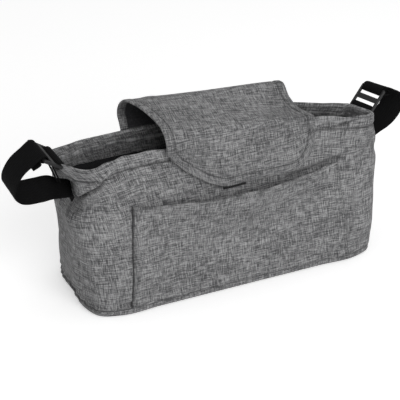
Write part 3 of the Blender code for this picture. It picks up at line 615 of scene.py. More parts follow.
def woven_group():
    """Yarn streaks both ways, blotches of the mix, the painted shade of seams and creases, and the
    threads' height.
    """
    group = bpy.data.node_groups.new("woven cloth", "ShaderNodeTree")
    for name, kind in (("Vector", "Vector"), ("Dark", "Color"), ("Mid", "Color"), ("Light", "Color"),
                       ("Yarn", "Float"), ("Contrast", "Float"), ("Shade", "Float")):
        group.interface.new_socket(name, in_out="INPUT", socket_type="NodeSocket" + kind)
    for name, kind in (("Color", "Color"), ("Roughness", "Float"), ("Height", "Float")):
        group.interface.new_socket(name, in_out="OUTPUT", socket_type="NodeSocket" + kind)
    given = group.nodes.new("NodeGroupInput").outputs
    result = group.nodes.new("NodeGroupOutput").inputs

    def added(first, second):
        return math_node(group, "ADD", first, second)

    def times(first, second):
        return math_node(group, "MULTIPLY", first, second)

    scaled = add_node(group, "ShaderNodeVectorMath", operation="SCALE")
    feed(group, given["Vector"], scaled.inputs[0])
    feed(group, math_node(group, "DIVIDE", 1.0, given["Yarn"]), scaled.inputs["Scale"])
    place = scaled.outputs["Vector"]
    warp, weft, slubs, blotches = (stretched_noise(group, place, *values)
                                   for values in (WARP_STREAKS, WEFT_STREAKS, SLUBS, BLOTCHES))
    streaks = added(warp, weft)
    mixed = added(times(blotches, BLOTCH_SHARE), added(times(slubs, SLUB_SHARE), streaks))
    centred = math_node(group, "SUBTRACT", mixed, MIX_MIDDLE)
    level = added(times(centred, given["Contrast"]), 0.5)
    doubled = times(level, 2.0)
    low_tones = mixed_colour(group, doubled, given["Dark"], given["Mid"])
    above_middle = math_node(group, "SUBTRACT", doubled, 1.0)
    all_tones = mixed_colour(group, above_middle, low_tones, given["Light"])
    feed(group, mixed_colour(group, given["Shade"], all_tones, PAINTED_SHADE_DARK), result["Color"])

    parts = add_node(group, "ShaderNodeSeparateXYZ")
    feed(group, place, parts.inputs["Vector"])
    across = math_node(group, "SINE", times(parts.outputs["X"], math.pi), 0.0)
    down = math_node(group, "SINE", times(parts.outputs["Y"], math.pi), 0.0)
    feed(group, added(times(times(across, down), THREAD_SHARE), streaks), result["Height"])
    feed(group, added(times(level, CLOTH_ROUGHNESS_SWING), CLOTH_ROUGHNESS), result["Roughness"])
    return group


WOVEN = woven_group()


def read_surface(tree, shader, colour, roughness, height, strength, depth):
    """Give a shader the colour, roughness and relief that vary over the surface."""
    bump = add_node(tree, "ShaderNodeBump", {"Strength": strength, "Distance": depth})
    feed(tree, colour, shader.inputs["Base Color"])
    feed(tree, roughness, shader.inputs["Roughness"])
    feed(tree, height, bump.inputs["Height"])
    feed(tree, bump.outputs["Normal"], shader.inputs["Normal"])


def woven_material(name, tones, yarn, contrast, relief, sheen):
    """Cloth that reads its weave from the map in metres that every cloth piece carries."""
    made, tree, shader = new_material(name, {"Specular IOR Level": CLOTH_SPECULAR, "Sheen Weight": sheen,
                                             "Sheen Roughness": CLOTH_SHEEN_ROUGHNESS})
    place = add_node(tree, "ShaderNodeUVMap", uv_map=CLOTH_MAP)
    painted_shade = add_node(tree, "ShaderNodeAttribute", attribute_name=PAINTED_SHADE_MAP)
    weave = add_node(tree, "ShaderNodeGroup", {"Dark": tones[0], "Mid": tones[1], "Light": tones[2],
                                               "Yarn": yarn, "Contrast": contrast}, node_tree=WOVEN)
    feed(tree, place.outputs["UV"], weave.inputs["Vector"])
    feed(tree, painted_shade.outputs["Fac"], weave.inputs["Shade"])
    read_surface(tree, shader, *(weave.outputs[name] for name in ("Color", "Roughness", "Height")),
                 CLOTH_BUMP, relief)
    return made


grey_cloth = woven_material("grey_cloth", (GREY_DARK, GREY_MID, GREY_LIGHT), **GREY_WEAVE)
SHARP_EDGE = math.radians(50.0)


def add_piece(name, mesh, sharp_edge=SHARP_EDGE):
    """A smooth-shaded object of a mesh, with its sharp edges kept."""
    mesh.shade_smooth()
    mesh.set_sharp_from_angle(angle=sharp_edge)
    return add_to_scene(name, mesh)


def cloth_piece(name, face, back, along, down, closed=False, shade=None):
    """A closed sheet between two grids of points, with a map in metres along and down it.

    Its painted shade, 0 where the cloth is open and 1 in the painted dark of a seam or crease, is kept at
    its points.
    """
    rows, columns = face.shape[:2]
    steps = columns if closed else columns - 1
    row = np.arange(rows - 1)[:, None] + np.zeros((1, steps), dtype=int)
    column = np.arange(steps)[None, :] + np.zeros((rows - 1, 1), dtype=int)
    faces = []

    def add(corners):
        """Each corner is layer, row, column; they make one block of quads."""
        faces.append(np.stack([np.stack(np.broadcast_arrays(*corner), axis=-1).reshape(-1, 3)
                               for corner in corners], axis=1))

    add([(0, row, column), (0, row, column + 1), (0, row + 1, column + 1), (0, row + 1, column)])
    add([(1, row, column), (1, row + 1, column), (1, row + 1, column + 1), (1, row, column + 1)])
    column = np.arange(steps)
    add([(0, 0, column + 1), (0, 0, column), (1, 0, column), (1, 0, column + 1)])
    add([(0, rows - 1, column), (0, rows - 1, column + 1), (1, rows - 1, column + 1),
         (1, rows - 1, column)])
    if not closed:
        row = np.arange(rows - 1)
        add([(0, row, 0), (0, row + 1, 0), (1, row + 1, 0), (1, row, 0)])
        add([(0, row + 1, steps), (0, row, steps), (1, row, steps), (1, row + 1, steps)])
    corners = np.concatenate(faces)
    points = np.concatenate((face.reshape(-1, 3), back.reshape(-1, 3)))
    index = (corners[..., 0] * rows + corners[..., 1]) * columns + corners[..., 2] % columns
    first, second, third = (points[index[:, place]] for place in (0, 1, 2))
    volume = np.einsum("ij,ij->i", first, np.cross(second, third)).sum()
    fourth = points[index[:, 3]]
    volume += np.einsum("ij,ij->i", first, np.cross(third, fourth)).sum()
    if volume < 0.0:
        index = index[:, ::-1]
        corners = corners[:, ::-1]
    mesh = bpy.data.meshes.new(name)
    mesh.from_pydata(points.tolist(), [], index.tolist())
    cloth_map = mesh.uv_layers.new(name=CLOTH_MAP)
    flat_rows = corners[..., 1].reshape(-1)
    flat_columns = corners[..., 2].reshape(-1)
    placed = np.column_stack((along[flat_rows, flat_columns], down[flat_rows, flat_columns]))
    cloth_map.data.foreach_set("uv", placed.astype(np.float32).ravel())
    if shade is not None:
        painted_shade = mesh.attributes.new(PAINTED_SHADE_MAP, "FLOAT", "POINT")
        painted_shade.data.foreach_set("value", np.tile(shade.ravel(), 2).astype(np.float32))
    return add_piece(name, mesh)


def dress(piece, material, slot, *nodes):
    """Give a piece its material and say what it rides on and stands for."""
    piece.data.materials.append(material)
    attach(piece, "root")
    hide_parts(*nodes)
    piece.name = nodes[0] + "_dressed"
    return piece


# Outer panels. One cloth goes round the left end, the front and the right end, a second makes the
# back; both are turned over at the rim and hemmed with a line of stitches below it.
down_wall = np.repeat(WALL_ROWS[:, None], WALL_ARC.shape[1], axis=1)


def panel(name, first, last):
    """One panel of outer cloth between two stations of the wall."""
    face, rows = wall_layer(SEAM_HEIGHT, RIM_HEIGHT, 0.0, RIM_ROUND)
    back, _ = wall_layer(SEAM_HEIGHT, RIM_HEIGHT, OUTER_CLOTH, RIM_ROUND - OUTER_CLOTH)
    back[-1, :, 2] -= OUTER_CLOTH
    stations = np.arange(first, last + 1)
    wrapped = stations % wall.shape[1]
    piece = cloth_piece(name, face[:, wrapped], back[:, wrapped],
                        WALL_ARC[:, np.minimum(stations, wall.shape[1])], down_wall[:, stations],
                        shade=wall_shade[:, wrapped])
    return dress(piece, grey_cloth, "grey_cloth", name)


panel("front_panel", 0, BACK_RIGHT)
panel("back_panel", BACK_RIGHT, wall.shape[1])

# Base. A stiffened bottom: a grey panel turned up round its edge and sewn to the wall, a board on it,
# and black lining over the board.
BASE_EDGE_ROUND = 0.003
BASE_CLOTH = 0.0012
BOARD_THICKNESS = 0.0020
BOARD_BOTTOM = BASE_CLOTH + CLEARANCE
FLOOR_BOTTOM = BOARD_BOTTOM + BOARD_THICKNESS + CLEARANCE
FLOOR_TOP = FLOOR_BOTTOM + LINING_CLOTH
EDGE_ROWS = 7
BASE_END_BULGE = 0.0024
BASE_END_REACH = 0.022
BASE_TUCK = 0.0008
BASE_TUCK_POWER = 6
BASE_INNER_INSET = OUTER_CLOTH + BASE_PUCKER * 2
LEVEL_FACE = 0.7
LINING_DARK = (0.011, 0.011, 0.012, 1.0)
LINING_MID = (0.024, 0.024, 0.026, 1.0)
LINING_LIGHT = (0.052, 0.052, 0.055, 1.0)
LINING_WEAVE = {"yarn": 0.0006, "contrast": 1.0, "relief": 0.0001, "sheen": 0.05}
BOARD_FINISH = {"colour": (0.03, 0.03, 0.03), "roughness": 0.6, "grain": 0.002, "depth": 0.0001}

lining_cloth = woven_material("lining", (LINING_DARK, LINING_MID, LINING_LIGHT), **LINING_WEAVE)


def ring_stack(name, rings, material, slot, *nodes):
    """A solid made of rings, each joined to the next, with its first and last ring filled."""
    count = len(rings[0])
    points = np.concatenate(rings)
    faces = [tuple(range(count))[::-1], tuple(range((len(rings) - 1) * count, len(rings) * count))]
    for level in range(len(rings) - 1):
        for index in range(count):
            following = (index + 1) % count
            faces.append((level * count + index, level * count + following,
                          (level + 1) * count + following, (level + 1) * count + index))
    mesh = bpy.data.meshes.new(name)
    mesh.from_pydata(points.tolist(), [], faces)
    bm = bmesh.new()
    bm.from_mesh(mesh)
    bmesh.ops.recalc_face_normals(bm, faces=bm.faces)
    cloth_map = bm.loops.layers.uv.new(CLOTH_MAP)
    for face in bm.faces:
        flat = abs(face.normal.z) > LEVEL_FACE
        for loop in face.loops:
            place = loop.vert.co
            loop[cloth_map].uv = (place.x, place.y) if flat else (place.x + place.y, place.z)
    bm.to_mesh(mesh)
    bm.free()
    return dress(add_piece(name, mesh), material, slot, *nodes)


def base_rings():
    """Rings of the base panel: rounded bottom edge, puckered upstand, tucked in at the seam."""
    rings = []
    for turn in np.linspace(0.0, math.pi / 2, EDGE_ROWS):
        rings.append(wall_ring(BASE_EDGE_ROUND * (1.0 - math.cos(turn)),
                               BASE_EDGE_ROUND * (1.0 - math.sin(turn))))
    top = SEAM_HEIGHT - CLEARANCE
    arc = WALL_ARC[0, :-1]
    for share in np.linspace(0.0, 1.0, EDGE_ROWS)[1:]:
        ring = wall_ring(BASE_EDGE_ROUND + (top - BASE_EDGE_ROUND) * share)
        ripple = puckers(arc) * share
        bulge = BASE_END_BULGE * share * near(ring[:, 0] + BASE_LENGTH / 2, BASE_END_REACH)
        tuck = bulge - BASE_TUCK * share ** BASE_TUCK_POWER
        normals = np.column_stack((outward(ring[:, :2]), np.zeros(len(ring))))
        rings.append(ring + normals * (ripple + tuck)[:, None])
    rings.append(wall_ring(top, BASE_INNER_INSET))
    rings.append(wall_ring(BASE_CLOTH, BASE_INNER_INSET))
    return rings


ring_stack("base_panel", base_rings(), grey_cloth, "grey_cloth", "base_panel")
ring_stack("base_lining", [wall_ring(z, LINING_INSET) for z in (FLOOR_BOTTOM, FLOOR_TOP)],
           lining_cloth, "lining", "base_lining")


GRAIN_TONES = (0.75, 1.30)
GRAIN_GLOSS = 0.08
GRAIN_DETAIL = 3.0
GRAIN_BUMP = 0.4


def grained_material(name, colour, roughness, grain, depth):
    """Moulded or pressed sheet with a fine grain in its surface and its gloss."""
    made, tree, shader = new_material(name, {})
    noise_node = add_node(tree, "ShaderNodeTexNoise", {"Scale": 1.0 / grain, "Detail": GRAIN_DETAIL})
    feed(tree, add_node(tree, "ShaderNodeTexCoord").outputs["Object"], noise_node.inputs["Vector"])
    fine = noise_node.outputs["Fac"]
    tones = [(*[part * share for part in colour], 1.0) for share in GRAIN_TONES]
    read_surface(tree, shader, mixed_colour(tree, fine, *tones),
                 mapped(tree, fine, roughness - GRAIN_GLOSS, roughness + GRAIN_GLOSS),
                 fine, GRAIN_BUMP, depth)
    return made


board_material = grained_material("base_board", **BOARD_FINISH)
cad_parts["base_board"].data.materials.clear()
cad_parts["base_board"].data.materials.append(board_material)


# Inside of the wall. A foam sheet lies behind the outer cloth; black lining covers it, and a grey
# facing, turned in over the rim and stitched, finishes the mouth.
FACING_HEIGHT = 0.026
FACING_STITCH_DEPTH = 0.0095
FACING_STITCH_SHADE = 0.5
FACING_STITCH_WIDTH = 0.0010
FACING_GROOVE = 0.0005
FACING_EXTRA = 0.0003
FACING_CURLS = (0.65, 0.75)
FOAM_BELOW_RIM = 0.0016
FOAM_FINISH = {"colour": (0.72, 0.72, 0.69), "roughness": 0.9, "grain": 0.0015, "depth": 0.0003}
foam_material = grained_material("foam", **FOAM_FINISH)


def wall_sheet(name, low, high, outer_inset, inner_inset, outer_curl, inner_curl, material, slot):
    """A layer that goes all the way round the wall."""
    outer_face, rows = wall_layer(low, high, outer_inset, -outer_curl)
    inner_face, _ = wall_layer(low, high, inner_inset, -inner_curl)
    below_rim = RIM_HEIGHT - WALL_ROWS[rows]
    # Painted shade: the cloth's colour is darkened along the facing's stitch line.
    line = FACING_STITCH_SHADE * near(below_rim - FACING_STITCH_DEPTH, FACING_STITCH_WIDTH)
    shade = np.repeat(line[:, None], wall.shape[1], axis=1)
    piece = cloth_piece(name, outer_face, inner_face, WALL_ARC[rows], down_wall[rows], closed=True,
                        shade=shade)
    return dress(piece, material, slot, name)


facing_low = RIM_HEIGHT - FACING_HEIGHT
facing_rows = WALL_ROWS[WALL_ROWS > facing_low - ROW_TOLERANCE]
groove = FACING_GROOVE * near(RIM_HEIGHT - facing_rows - FACING_STITCH_DEPTH, FACING_STITCH_WIDTH)
wall_padding = wall_sheet("wall_padding", FLOOR_BOTTOM, RIM_HEIGHT - FOAM_BELOW_RIM, PADDING_INSET,
                          PADDING_INSET + WALL_PADDING, 0.0, 0.0, foam_material, "foam")
wall_sheet("wall_lining", FLOOR_TOP, facing_low - CLEARANCE, LINING_INSET, INSIDE_INSET, 0.0, 0.0,
           lining_cloth, "lining")
wall_sheet("rim_facing", facing_low, RIM_HEIGHT, LINING_INSET, INSIDE_INSET + FACING_EXTRA - groove,
           FACING_CURLS[0] * RIM_ROUND, FACING_CURLS[1] * RIM_ROUND, grey_cloth, "grey_cloth")


# Dividers. Two thin padded panels of lining cloth, bound along the top, stand across the bag.
DIVIDER_THICKNESS = 0.0024
DIVIDER_HEIGHT = 0.112
DIVIDER_X = 0.078
FLAP_BACK_CENTRE_X = -0.0060
FLAP_FRONT_CENTRE_X = 0.0095
LIE_CLEARANCE = 0.0006
DIVIDER_BINDING = 0.008
DIVIDER_ROWS = 50
DIVIDER_COLUMNS = 40
DIVIDER_TOP_ROUND = 0.001
DIVIDER_SLACK = 0.0018
DIVIDER_SLACK_TURN = 5.0
BOUND_THICKNESS = 1.15
OPEN_THICKNESS = 0.9
TOP_THICKNESS = 0.5


def divider(name, side):
    """One divider, a little slack between its sewn edges."""
    x = (FLAP_BACK_CENTRE_X + FLAP_FRONT_CENTRE_X) / 2 + side * DIVIDER_X
    heights = np.append(np.linspace(FLOOR_TOP + CLEARANCE, DIVIDER_HEIGHT - DIVIDER_TOP_ROUND,
                                    DIVIDER_ROWS), DIVIDER_HEIGHT)
    shares = np.linspace(0.0, 1.0, DIVIDER_COLUMNS)
    middle = np.zeros((len(heights), len(shares), 3))
    for row, z in enumerate(heights):
        front = front_y(x, z, INSIDE_INSET + LIE_CLEARANCE)
        back = back_y(x, z, INSIDE_INSET + LIE_CLEARANCE)
        slack = np.sin(math.pi * shares) * (z / DIVIDER_HEIGHT) ** 2
        lean = side * DIVIDER_SLACK * slack * np.sin(DIVIDER_SLACK_TURN * shares)
        middle[row] = np.column_stack((x + lean, front + (back - front) * shares,
                                       np.full(len(shares), z)))
    bound = np.where(heights > DIVIDER_HEIGHT - DIVIDER_BINDING, BOUND_THICKNESS, OPEN_THICKNESS)
    bound = bound * np.where(heights > DIVIDER_HEIGHT - DIVIDER_TOP_ROUND / 2, TOP_THICKNESS, 1.0)
    half_thick = np.zeros_like(middle)
    half_thick[..., 0] = (DIVIDER_THICKNESS / 2 * bound)[:, None]
    piece = cloth_piece(name, middle - half_thick, middle + half_thick, middle[..., 1], middle[..., 2])
    dress(piece, lining_cloth, "lining", name)
    return piece


divider("left_divider", -1)
divider("right_divider", 1)


# Front pocket. A patch of the grey cloth, turned under and sewn down both sides and along the base
# seam, with a deep hem at its mouth, which gapes.
POCKET_CENTRE_X = -0.001
POCKET_BOTTOM_HALF_WIDTH = 0.125
POCKET_TOP_HALF_WIDTH = 0.115
POCKET_HEIGHT = 0.1105
POCKET_GAPE = 0.022
POCKET_CLOTH = 0.0014
POCKET_HEM = 0.0220
POCKET_SLACK = 0.012
POCKET_CAP = 0.0030
POCKET_MAP_X = 0.5
POCKET_ROWS = 71
POCKET_COLUMNS = 201
POCKET_SKIP = (3, 3)
POCKET_CROWDING = 0.47
POCKET_GAPE_POWER = 2.6
# Each wave of the pocket: how high, how long, and the seed of its noise
POCKET_WAVES = ((0.0022, 0.060, 21.0), (0.0005, 0.018, 5.0))
POCKET_WAVE_SPAN = (0.06, 1.9)
POCKET_HEM_SWELL = 0.0007
POCKET_HEM_SOFTNESS = 0.002
POCKET_HEM_LINE = 0.0009
POCKET_SIDE_STITCH = 0.0030
POCKET_SIDE_STITCH_WIDTH = 0.0010
POCKET_HEM_GROOVE = 0.0005
POCKET_SIDE_GROOVE = 0.0006
POCKET_EDGE_ROUND = 0.0009
POCKET_EDGE_ROUND_WIDTH = 0.0012
POCKET_THINNEST = 0.0003
# Painted shade in the pocket's colour: along its side seams, far darker at the left than at the right,
# and along its stitch lines, foot and hem line.
POCKET_SIDE_SHADES = (0.85, 0.20)
POCKET_SIDE_SHADE_WIDTH = 0.0016
POCKET_STITCH_SHADE = 0.15
POCKET_FOOT_SHADE = 0.5
POCKET_FOOT_SHADE_WIDTH = 0.0012
POCKET_HEM_SHADE = 0.25


def pocket():
    """The pocket's outer and inner face, its heights and its painted shade."""
    bottom = SEAM_HEIGHT + CLEARANCE
    heights = bottom + (POCKET_HEIGHT - bottom) * np.linspace(0.0, 1.0, POCKET_ROWS)
    turns = np.linspace(-0.5, 0.5, POCKET_COLUMNS) * math.pi * POCKET_CROWDING * 2
    across = np.sin(turns) / math.sin(math.pi * POCKET_CROWDING)
    mouth = 1.0 - across ** 2
    inner = np.zeros((len(heights), len(across), 3))
    wall_behind = np.zeros(inner.shape[:2])
    for row, z in enumerate(heights):
        share = (z - bottom) / (POCKET_HEIGHT - bottom)
        half_width = POCKET_BOTTOM_HALF_WIDTH + share * (POCKET_TOP_HALF_WIDTH
                                                         - POCKET_BOTTOM_HALF_WIDTH)
        x = POCKET_CENTRE_X + across * half_width
        wall_behind[row] = front_y(x, z)
        away = LIE_CLEARANCE + POCKET_GAPE * mouth * share ** POCKET_GAPE_POWER
        inner[row] = np.column_stack((x, wall_behind[row] - away, np.full(len(x), z)))
    held = np.zeros(inner.shape[:2], dtype=bool)
    held[:2] = held[:, :2] = held[:, -2:] = True
    inner = inner + settle(inner, held, POCKET_SLACK, POCKET_CAP, POCKET_SKIP)
    waves = sum(high * soft_noise(inner, long, seed) for high, long, seed in POCKET_WAVES)
    loose = np.sin(np.linspace(*POCKET_WAVE_SPAN, len(heights)))[:, None] * np.sqrt(1.0 - across ** 2)
    inner[..., 1] -= waves * loose
    inner[..., 1] = np.minimum(inner[..., 1], wall_behind - LIE_CLEARANCE)
    from_side = ((1.0 - np.abs(across)) * POCKET_TOP_HALF_WIDTH)[None, :]
    from_hem = (POCKET_HEIGHT - POCKET_HEM - heights)[:, None]
    hem_line = near(from_hem, POCKET_HEM_LINE)
    side_stitch = near(from_side - POCKET_SIDE_STITCH, POCKET_SIDE_STITCH_WIDTH)
    hem = smooth((heights - (POCKET_HEIGHT - POCKET_HEM)) / POCKET_HEM_SOFTNESS)[:, None]
    swell = POCKET_HEM_SWELL * hem - POCKET_HEM_GROOVE * hem_line
    swell = swell - POCKET_SIDE_GROOVE * side_stitch
    swell = swell - POCKET_EDGE_ROUND * near(from_side, POCKET_EDGE_ROUND_WIDTH)
    thick = np.maximum(POCKET_CLOTH + swell, POCKET_THINNEST)
    outer_face = inner + grid_normals(inner, False) * thick[..., None]
    # Painted shade at the side seams, the left one far darker than the right.
    side_painted_shade = np.where(across < 0.0, *POCKET_SIDE_SHADES)[None, :]
    shade = side_painted_shade * near(from_side, POCKET_SIDE_SHADE_WIDTH) + np.zeros_like(thick)
    foot = near(heights - bottom, POCKET_FOOT_SHADE_WIDTH)[:, None]
    for level, line in ((POCKET_STITCH_SHADE, side_stitch), (POCKET_FOOT_SHADE, foot),
                        (POCKET_HEM_SHADE, hem_line)):
        shade = np.maximum(shade, level * line)
    return outer_face, inner, heights, shade


pocket_face, pocket_back, pocket_heights, pocket_shade = pocket()
pocket_down = np.repeat(pocket_heights[:, None], POCKET_COLUMNS, axis=1)
front_pocket = cloth_piece("front_pocket", pocket_face, pocket_back, pocket_face[..., 0] + POCKET_MAP_X,
                           pocket_down, shade=pocket_shade)
dress(front_pocket, grey_cloth, "grey_cloth", "front_pocket")


# Lid flap. Grey cloth sewn along the back rim, arched over the mouth and closed on the front, with
# its edge turned in and stitched all round and black lining inside the turned edge.
FLAP_BACK_HALF_WIDTH = 0.0890
FLAP_FRONT_HALF_WIDTH = 0.0845
FLAP_DROP = 0.0460
FLAP_BACK_STRIP = 0.022
FLAP_CLOTH = 0.0012
FLAP_LEFT_CORNER = (0.062, 1.4)
FLAP_RIGHT_CORNER = (0.045, 2.6)
FLAP_ARCH_LEFT = ((-0.08, 0.008), (-0.145, 0.0165), (-0.115, 0.0212), (0.14, 0.0345), (0.40, 0.0345),
                  (0.66, 0.0280), (0.88, 0.0200), (1.01, 0.0090))
FLAP_ARCH_RIGHT = ((-0.02, 0.013), (-0.008, 0.0210), (0.020, 0.0240), (0.14, 0.0260), (0.34, 0.0130),
                   (0.58, 0.0050), (0.82, 0.0042), (0.97, 0.0036))
PATCH_THICKNESS = 0.0011
FLAP_CLOTH_INSIDE = LINING_CLOTH + CLEARANCE
FLAP_STAND_OFF = 2 * PATCH_THICKNESS + 2 * LIE_CLEARANCE + CLEARANCE
FLAP_COLUMNS = 121
FLAP_ARCH_STEPS = 10
FLAP_DROP_ROWS = 30
FLAP_HEM = 0.0080
FLAP_HEM_SWELL = 0.0005
FLAP_GROOVE = 0.0009
FLAP_SLACK = 0.010
FLAP_CAP = 0.0036
FLAP_MAP_X = 0.8
FLAP_SKIP = (3, 3)
FLAP_SEAM_ROWS = 3
FLAP_CLOSED_ROWS = slice(-14, -8)
FLAP_CLOSED_COLUMNS = slice(45, 69)
# Each wave of the flap: how high, how long, and the seed of its noise
FLAP_WAVES = ((0.0020, 0.050, 12.0), (0.0005, 0.017, 9.0))
FLAP_EASE_ROWS = 12.0
FLAP_LYING = 0.55
FLAP_LYING_ROWS = FLAP_DROP_ROWS + 6
FLAP_LEAST_LIFT = -0.0016
FLAP_HEM_LINE = 0.0009
FLAP_HEM_SOFTNESS = 0.0016
FLAP_EDGE_ROUND = 0.0008
FLAP_STRIP_ROWS = 14
FLAP_RIM_DROP = 0.004
FLAP_DROP_START = 0.06
FLAP_SHORTEST_DROP = 0.002
# The flap's colour is made darker towards its edges.
FLAP_EDGE_DARKENING = 0.13
FLAP_EDGE_DARKENING_REACH = 0.030
# Painted shade along the flap's hem stitch line.
FLAP_SEAM_SHADE = 0.55
FLAP_SEAM_SHADE_WIDTH = 0.0011
FLAP_LINING_WIDEST = 0.905
FLAP_LINING_LIFT = 0.9
FLAP_LINING_ROW = 0.0017


def flap_x(crossed, across):
    """X of a point of the flap: it drifts to the right and narrows as it crosses the mouth."""
    turned = smooth(crossed)
    centre = FLAP_BACK_CENTRE_X + (FLAP_FRONT_CENTRE_X - FLAP_BACK_CENTRE_X) * turned
    half_width = FLAP_BACK_HALF_WIDTH + (FLAP_FRONT_HALF_WIDTH - FLAP_BACK_HALF_WIDTH) * turned
    return centre + across * half_width


def flap_edge_drop(across):
    """How far down the front the flap reaches at a place across it, with its round corners."""
    reach, power = FLAP_LEFT_CORNER if across < 0.0 else FLAP_RIGHT_CORNER
    past = max(0.0, abs(across) * FLAP_FRONT_HALF_WIDTH - (FLAP_FRONT_HALF_WIDTH - reach)) / reach
    return FLAP_DROP * (1.0 - min(1.0, past) ** power) ** (1.0 / power)


def flap_column(across, shortened):
    """Points down one line of the flap's inner face, from the back rim over to the front."""
    right_share = (across + 1.0) / 2.0
    back_x = flap_x(0.0, across)
    front_x = flap_x(1.0, across)
    start = back_y(back_x, RIM_HEIGHT) + LIE_CLEARANCE - FLAP_CLOTH_INSIDE
    finish = front_y(front_x, RIM_HEIGHT - FLAP_RIM_DROP) - FLAP_STAND_OFF
    keys = [(back_x, start, RIM_HEIGHT + CLEARANCE)]
    for left, right in zip(FLAP_ARCH_LEFT, FLAP_ARCH_RIGHT):
        crossed = left[0] + (right[0] - left[0]) * right_share
        height = left[1] + (right[1] - left[1]) * right_share
        keys.append((flap_x(crossed, across), start + (finish - start) * crossed,
                     RIM_HEIGHT + height))
    highest = RIM_HEIGHT - FLAP_DROP * FLAP_DROP_START
    keys.append((front_x, finish, highest))
    lowest = RIM_HEIGHT - flap_edge_drop(across) + shortened
    lowest = min(lowest, highest - FLAP_SHORTEST_DROP)
    drop = [(front_x, front_y(front_x, z) - FLAP_STAND_OFF, z)
            for z in np.linspace(highest, lowest, FLAP_DROP_ROWS + 1)[1:]]
    return np.vstack([open_curve(keys, FLAP_ARCH_STEPS), drop])


def flap_surface(widest, shortened):
    """A grid of the flap's inner face and its normals, away from the bag."""
    grid = np.array([flap_column(across, shortened)
                     for across in np.linspace(-widest, widest, FLAP_COLUMNS)]).transpose(1, 0, 2)
    normals = -grid_normals(grid, False)
    normals[0] = (0.0, 1.0, 0.0)
    return grid, normals


def edge_distance(grid):
    """How far each point of the flap is from its free edge: both sides and the front."""
    border = np.concatenate((grid[:, 0], grid[:, -1], grid[-1]))
    return np.array([[np.linalg.norm(border - point, axis=1).min() for point in row] for row in grid])


def soft_flap(grid, normals):
    """The flap's cloth settled between its seam and its closure, and gently waved."""
    held = np.zeros(grid.shape[:2], dtype=bool)
    held[:FLAP_SEAM_ROWS] = True
    held[FLAP_CLOSED_ROWS, FLAP_CLOSED_COLUMNS] = True
    moved = settle(grid, held, FLAP_SLACK, FLAP_CAP, FLAP_SKIP)
    moved = (moved * normals).sum(-1)
    wave = sum(high * soft_noise(grid, long, seed) for high, long, seed in FLAP_WAVES)
    rows = np.arange(len(grid))
    past_rim = smooth(rows / FLAP_EASE_ROWS)
    lying = 1.0 - FLAP_LYING * smooth((rows - len(grid) + FLAP_LYING_ROWS) / FLAP_EASE_ROWS)
    return (moved + wave) * past_rim[:, None] * lying[:, None]


def flap_cloth():
    """The outer cloth with its swollen hem; inside the hem it leaves room for the lining."""
    grid, normals = flap_surface(1.0, 0.0)
    distance = edge_distance(grid)
    lift = np.maximum(soft_flap(grid, normals), FLAP_LEAST_LIFT)
    hem = 1.0 - smooth((distance - FLAP_HEM + FLAP_HEM_SOFTNESS / 2) / FLAP_HEM_SOFTNESS)
    swell = FLAP_HEM_SWELL * hem - FLAP_GROOVE * near(distance - FLAP_HEM, FLAP_HEM_LINE)
    round_edge = FLAP_EDGE_ROUND * near(distance, FLAP_EDGE_ROUND)
    inside_gap = FLAP_CLOTH_INSIDE * (1.0 - hem)
    back = grid + normals * (lift + inside_gap + round_edge * 0.5)[..., None]
    face = grid + normals * (lift + FLAP_CLOTH_INSIDE + FLAP_CLOTH + swell - round_edge)[..., None]
    strip_heights = np.linspace(RIM_HEIGHT - FLAP_BACK_STRIP, RIM_HEIGHT - CLEARANCE,
                                FLAP_STRIP_ROWS)
    strip = np.array([[(x, back_y(x, z) + LIE_CLEARANCE, z) for x in grid[0, :, 0]]
                      for z in strip_heights])
    strip_face = strip + np.array((0.0, FLAP_CLOTH, 0.0))
    return np.concatenate((strip, back)), np.concatenate((strip_face, face)), distance, lift


flap_back, flap_face, flap_distance, flap_lift = flap_cloth()
flap_steps = np.linalg.norm(np.diff(flap_face[:, FLAP_COLUMNS // 2], axis=0), axis=1)
flap_arc = np.concatenate(([0.0], np.cumsum(flap_steps)))
flap_down = np.repeat(flap_arc[:, None], FLAP_COLUMNS, axis=1)
# The flap's colour darker towards its edges, and painted shade along its hem's stitch line.
flap_edge_darkening = FLAP_EDGE_DARKENING * near(flap_distance, FLAP_EDGE_DARKENING_REACH)
flap_seam = FLAP_SEAM_SHADE * near(flap_distance - FLAP_HEM, FLAP_SEAM_SHADE_WIDTH)
flap_shade = np.zeros(flap_down.shape)
flap_shade[-len(flap_distance):] = np.maximum(flap_seam, flap_edge_darkening)
flap_piece = cloth_piece("flap_cloth", flap_face, flap_back, flap_face[..., 0] + FLAP_MAP_X, flap_down,
                         shade=flap_shade)
dress(flap_piece, grey_cloth, "grey_cloth", "flap_cloth")

lining_grid, lining_normals = flap_surface(FLAP_LINING_WIDEST, FLAP_HEM)
lining_inner = lining_grid + lining_normals * (flap_lift * FLAP_LINING_LIFT)[..., None]
lining_outer = lining_inner + lining_normals * LINING_CLOTH
lining_down = np.repeat(np.arange(len(lining_grid))[:, None] * FLAP_LINING_ROW, FLAP_COLUMNS, axis=1)
flap_lining = cloth_piece("flap_lining", lining_outer, lining_inner, lining_grid[..., 0] + FLAP_MAP_X,
                          lining_down)
dress(flap_lining, lining_cloth, "lining", "flap_lining")


# Closure. A patch of loop tape on the front panel and a patch of hook tape inside the flap, both
# black and sewn round their edges.
PATCH_WIDTH = 0.026
PATCH_CENTRE_X = -0.004
PATCH_COLUMNS = 28
PATCH_ROWS = 30
PATCH_EDGE = 0.0008
PATCH_EDGE_SHARE = 0.55
TUFT_TONES = ((0.016, 0.016, 0.017, 1.0), (0.005, 0.005, 0.005, 1.0))
TUFT_ROUGHNESS = (0.8, 1.0)
TUFT_BUMP = (0.8, 0.0004)
TUFT_SHEEN = 0.2
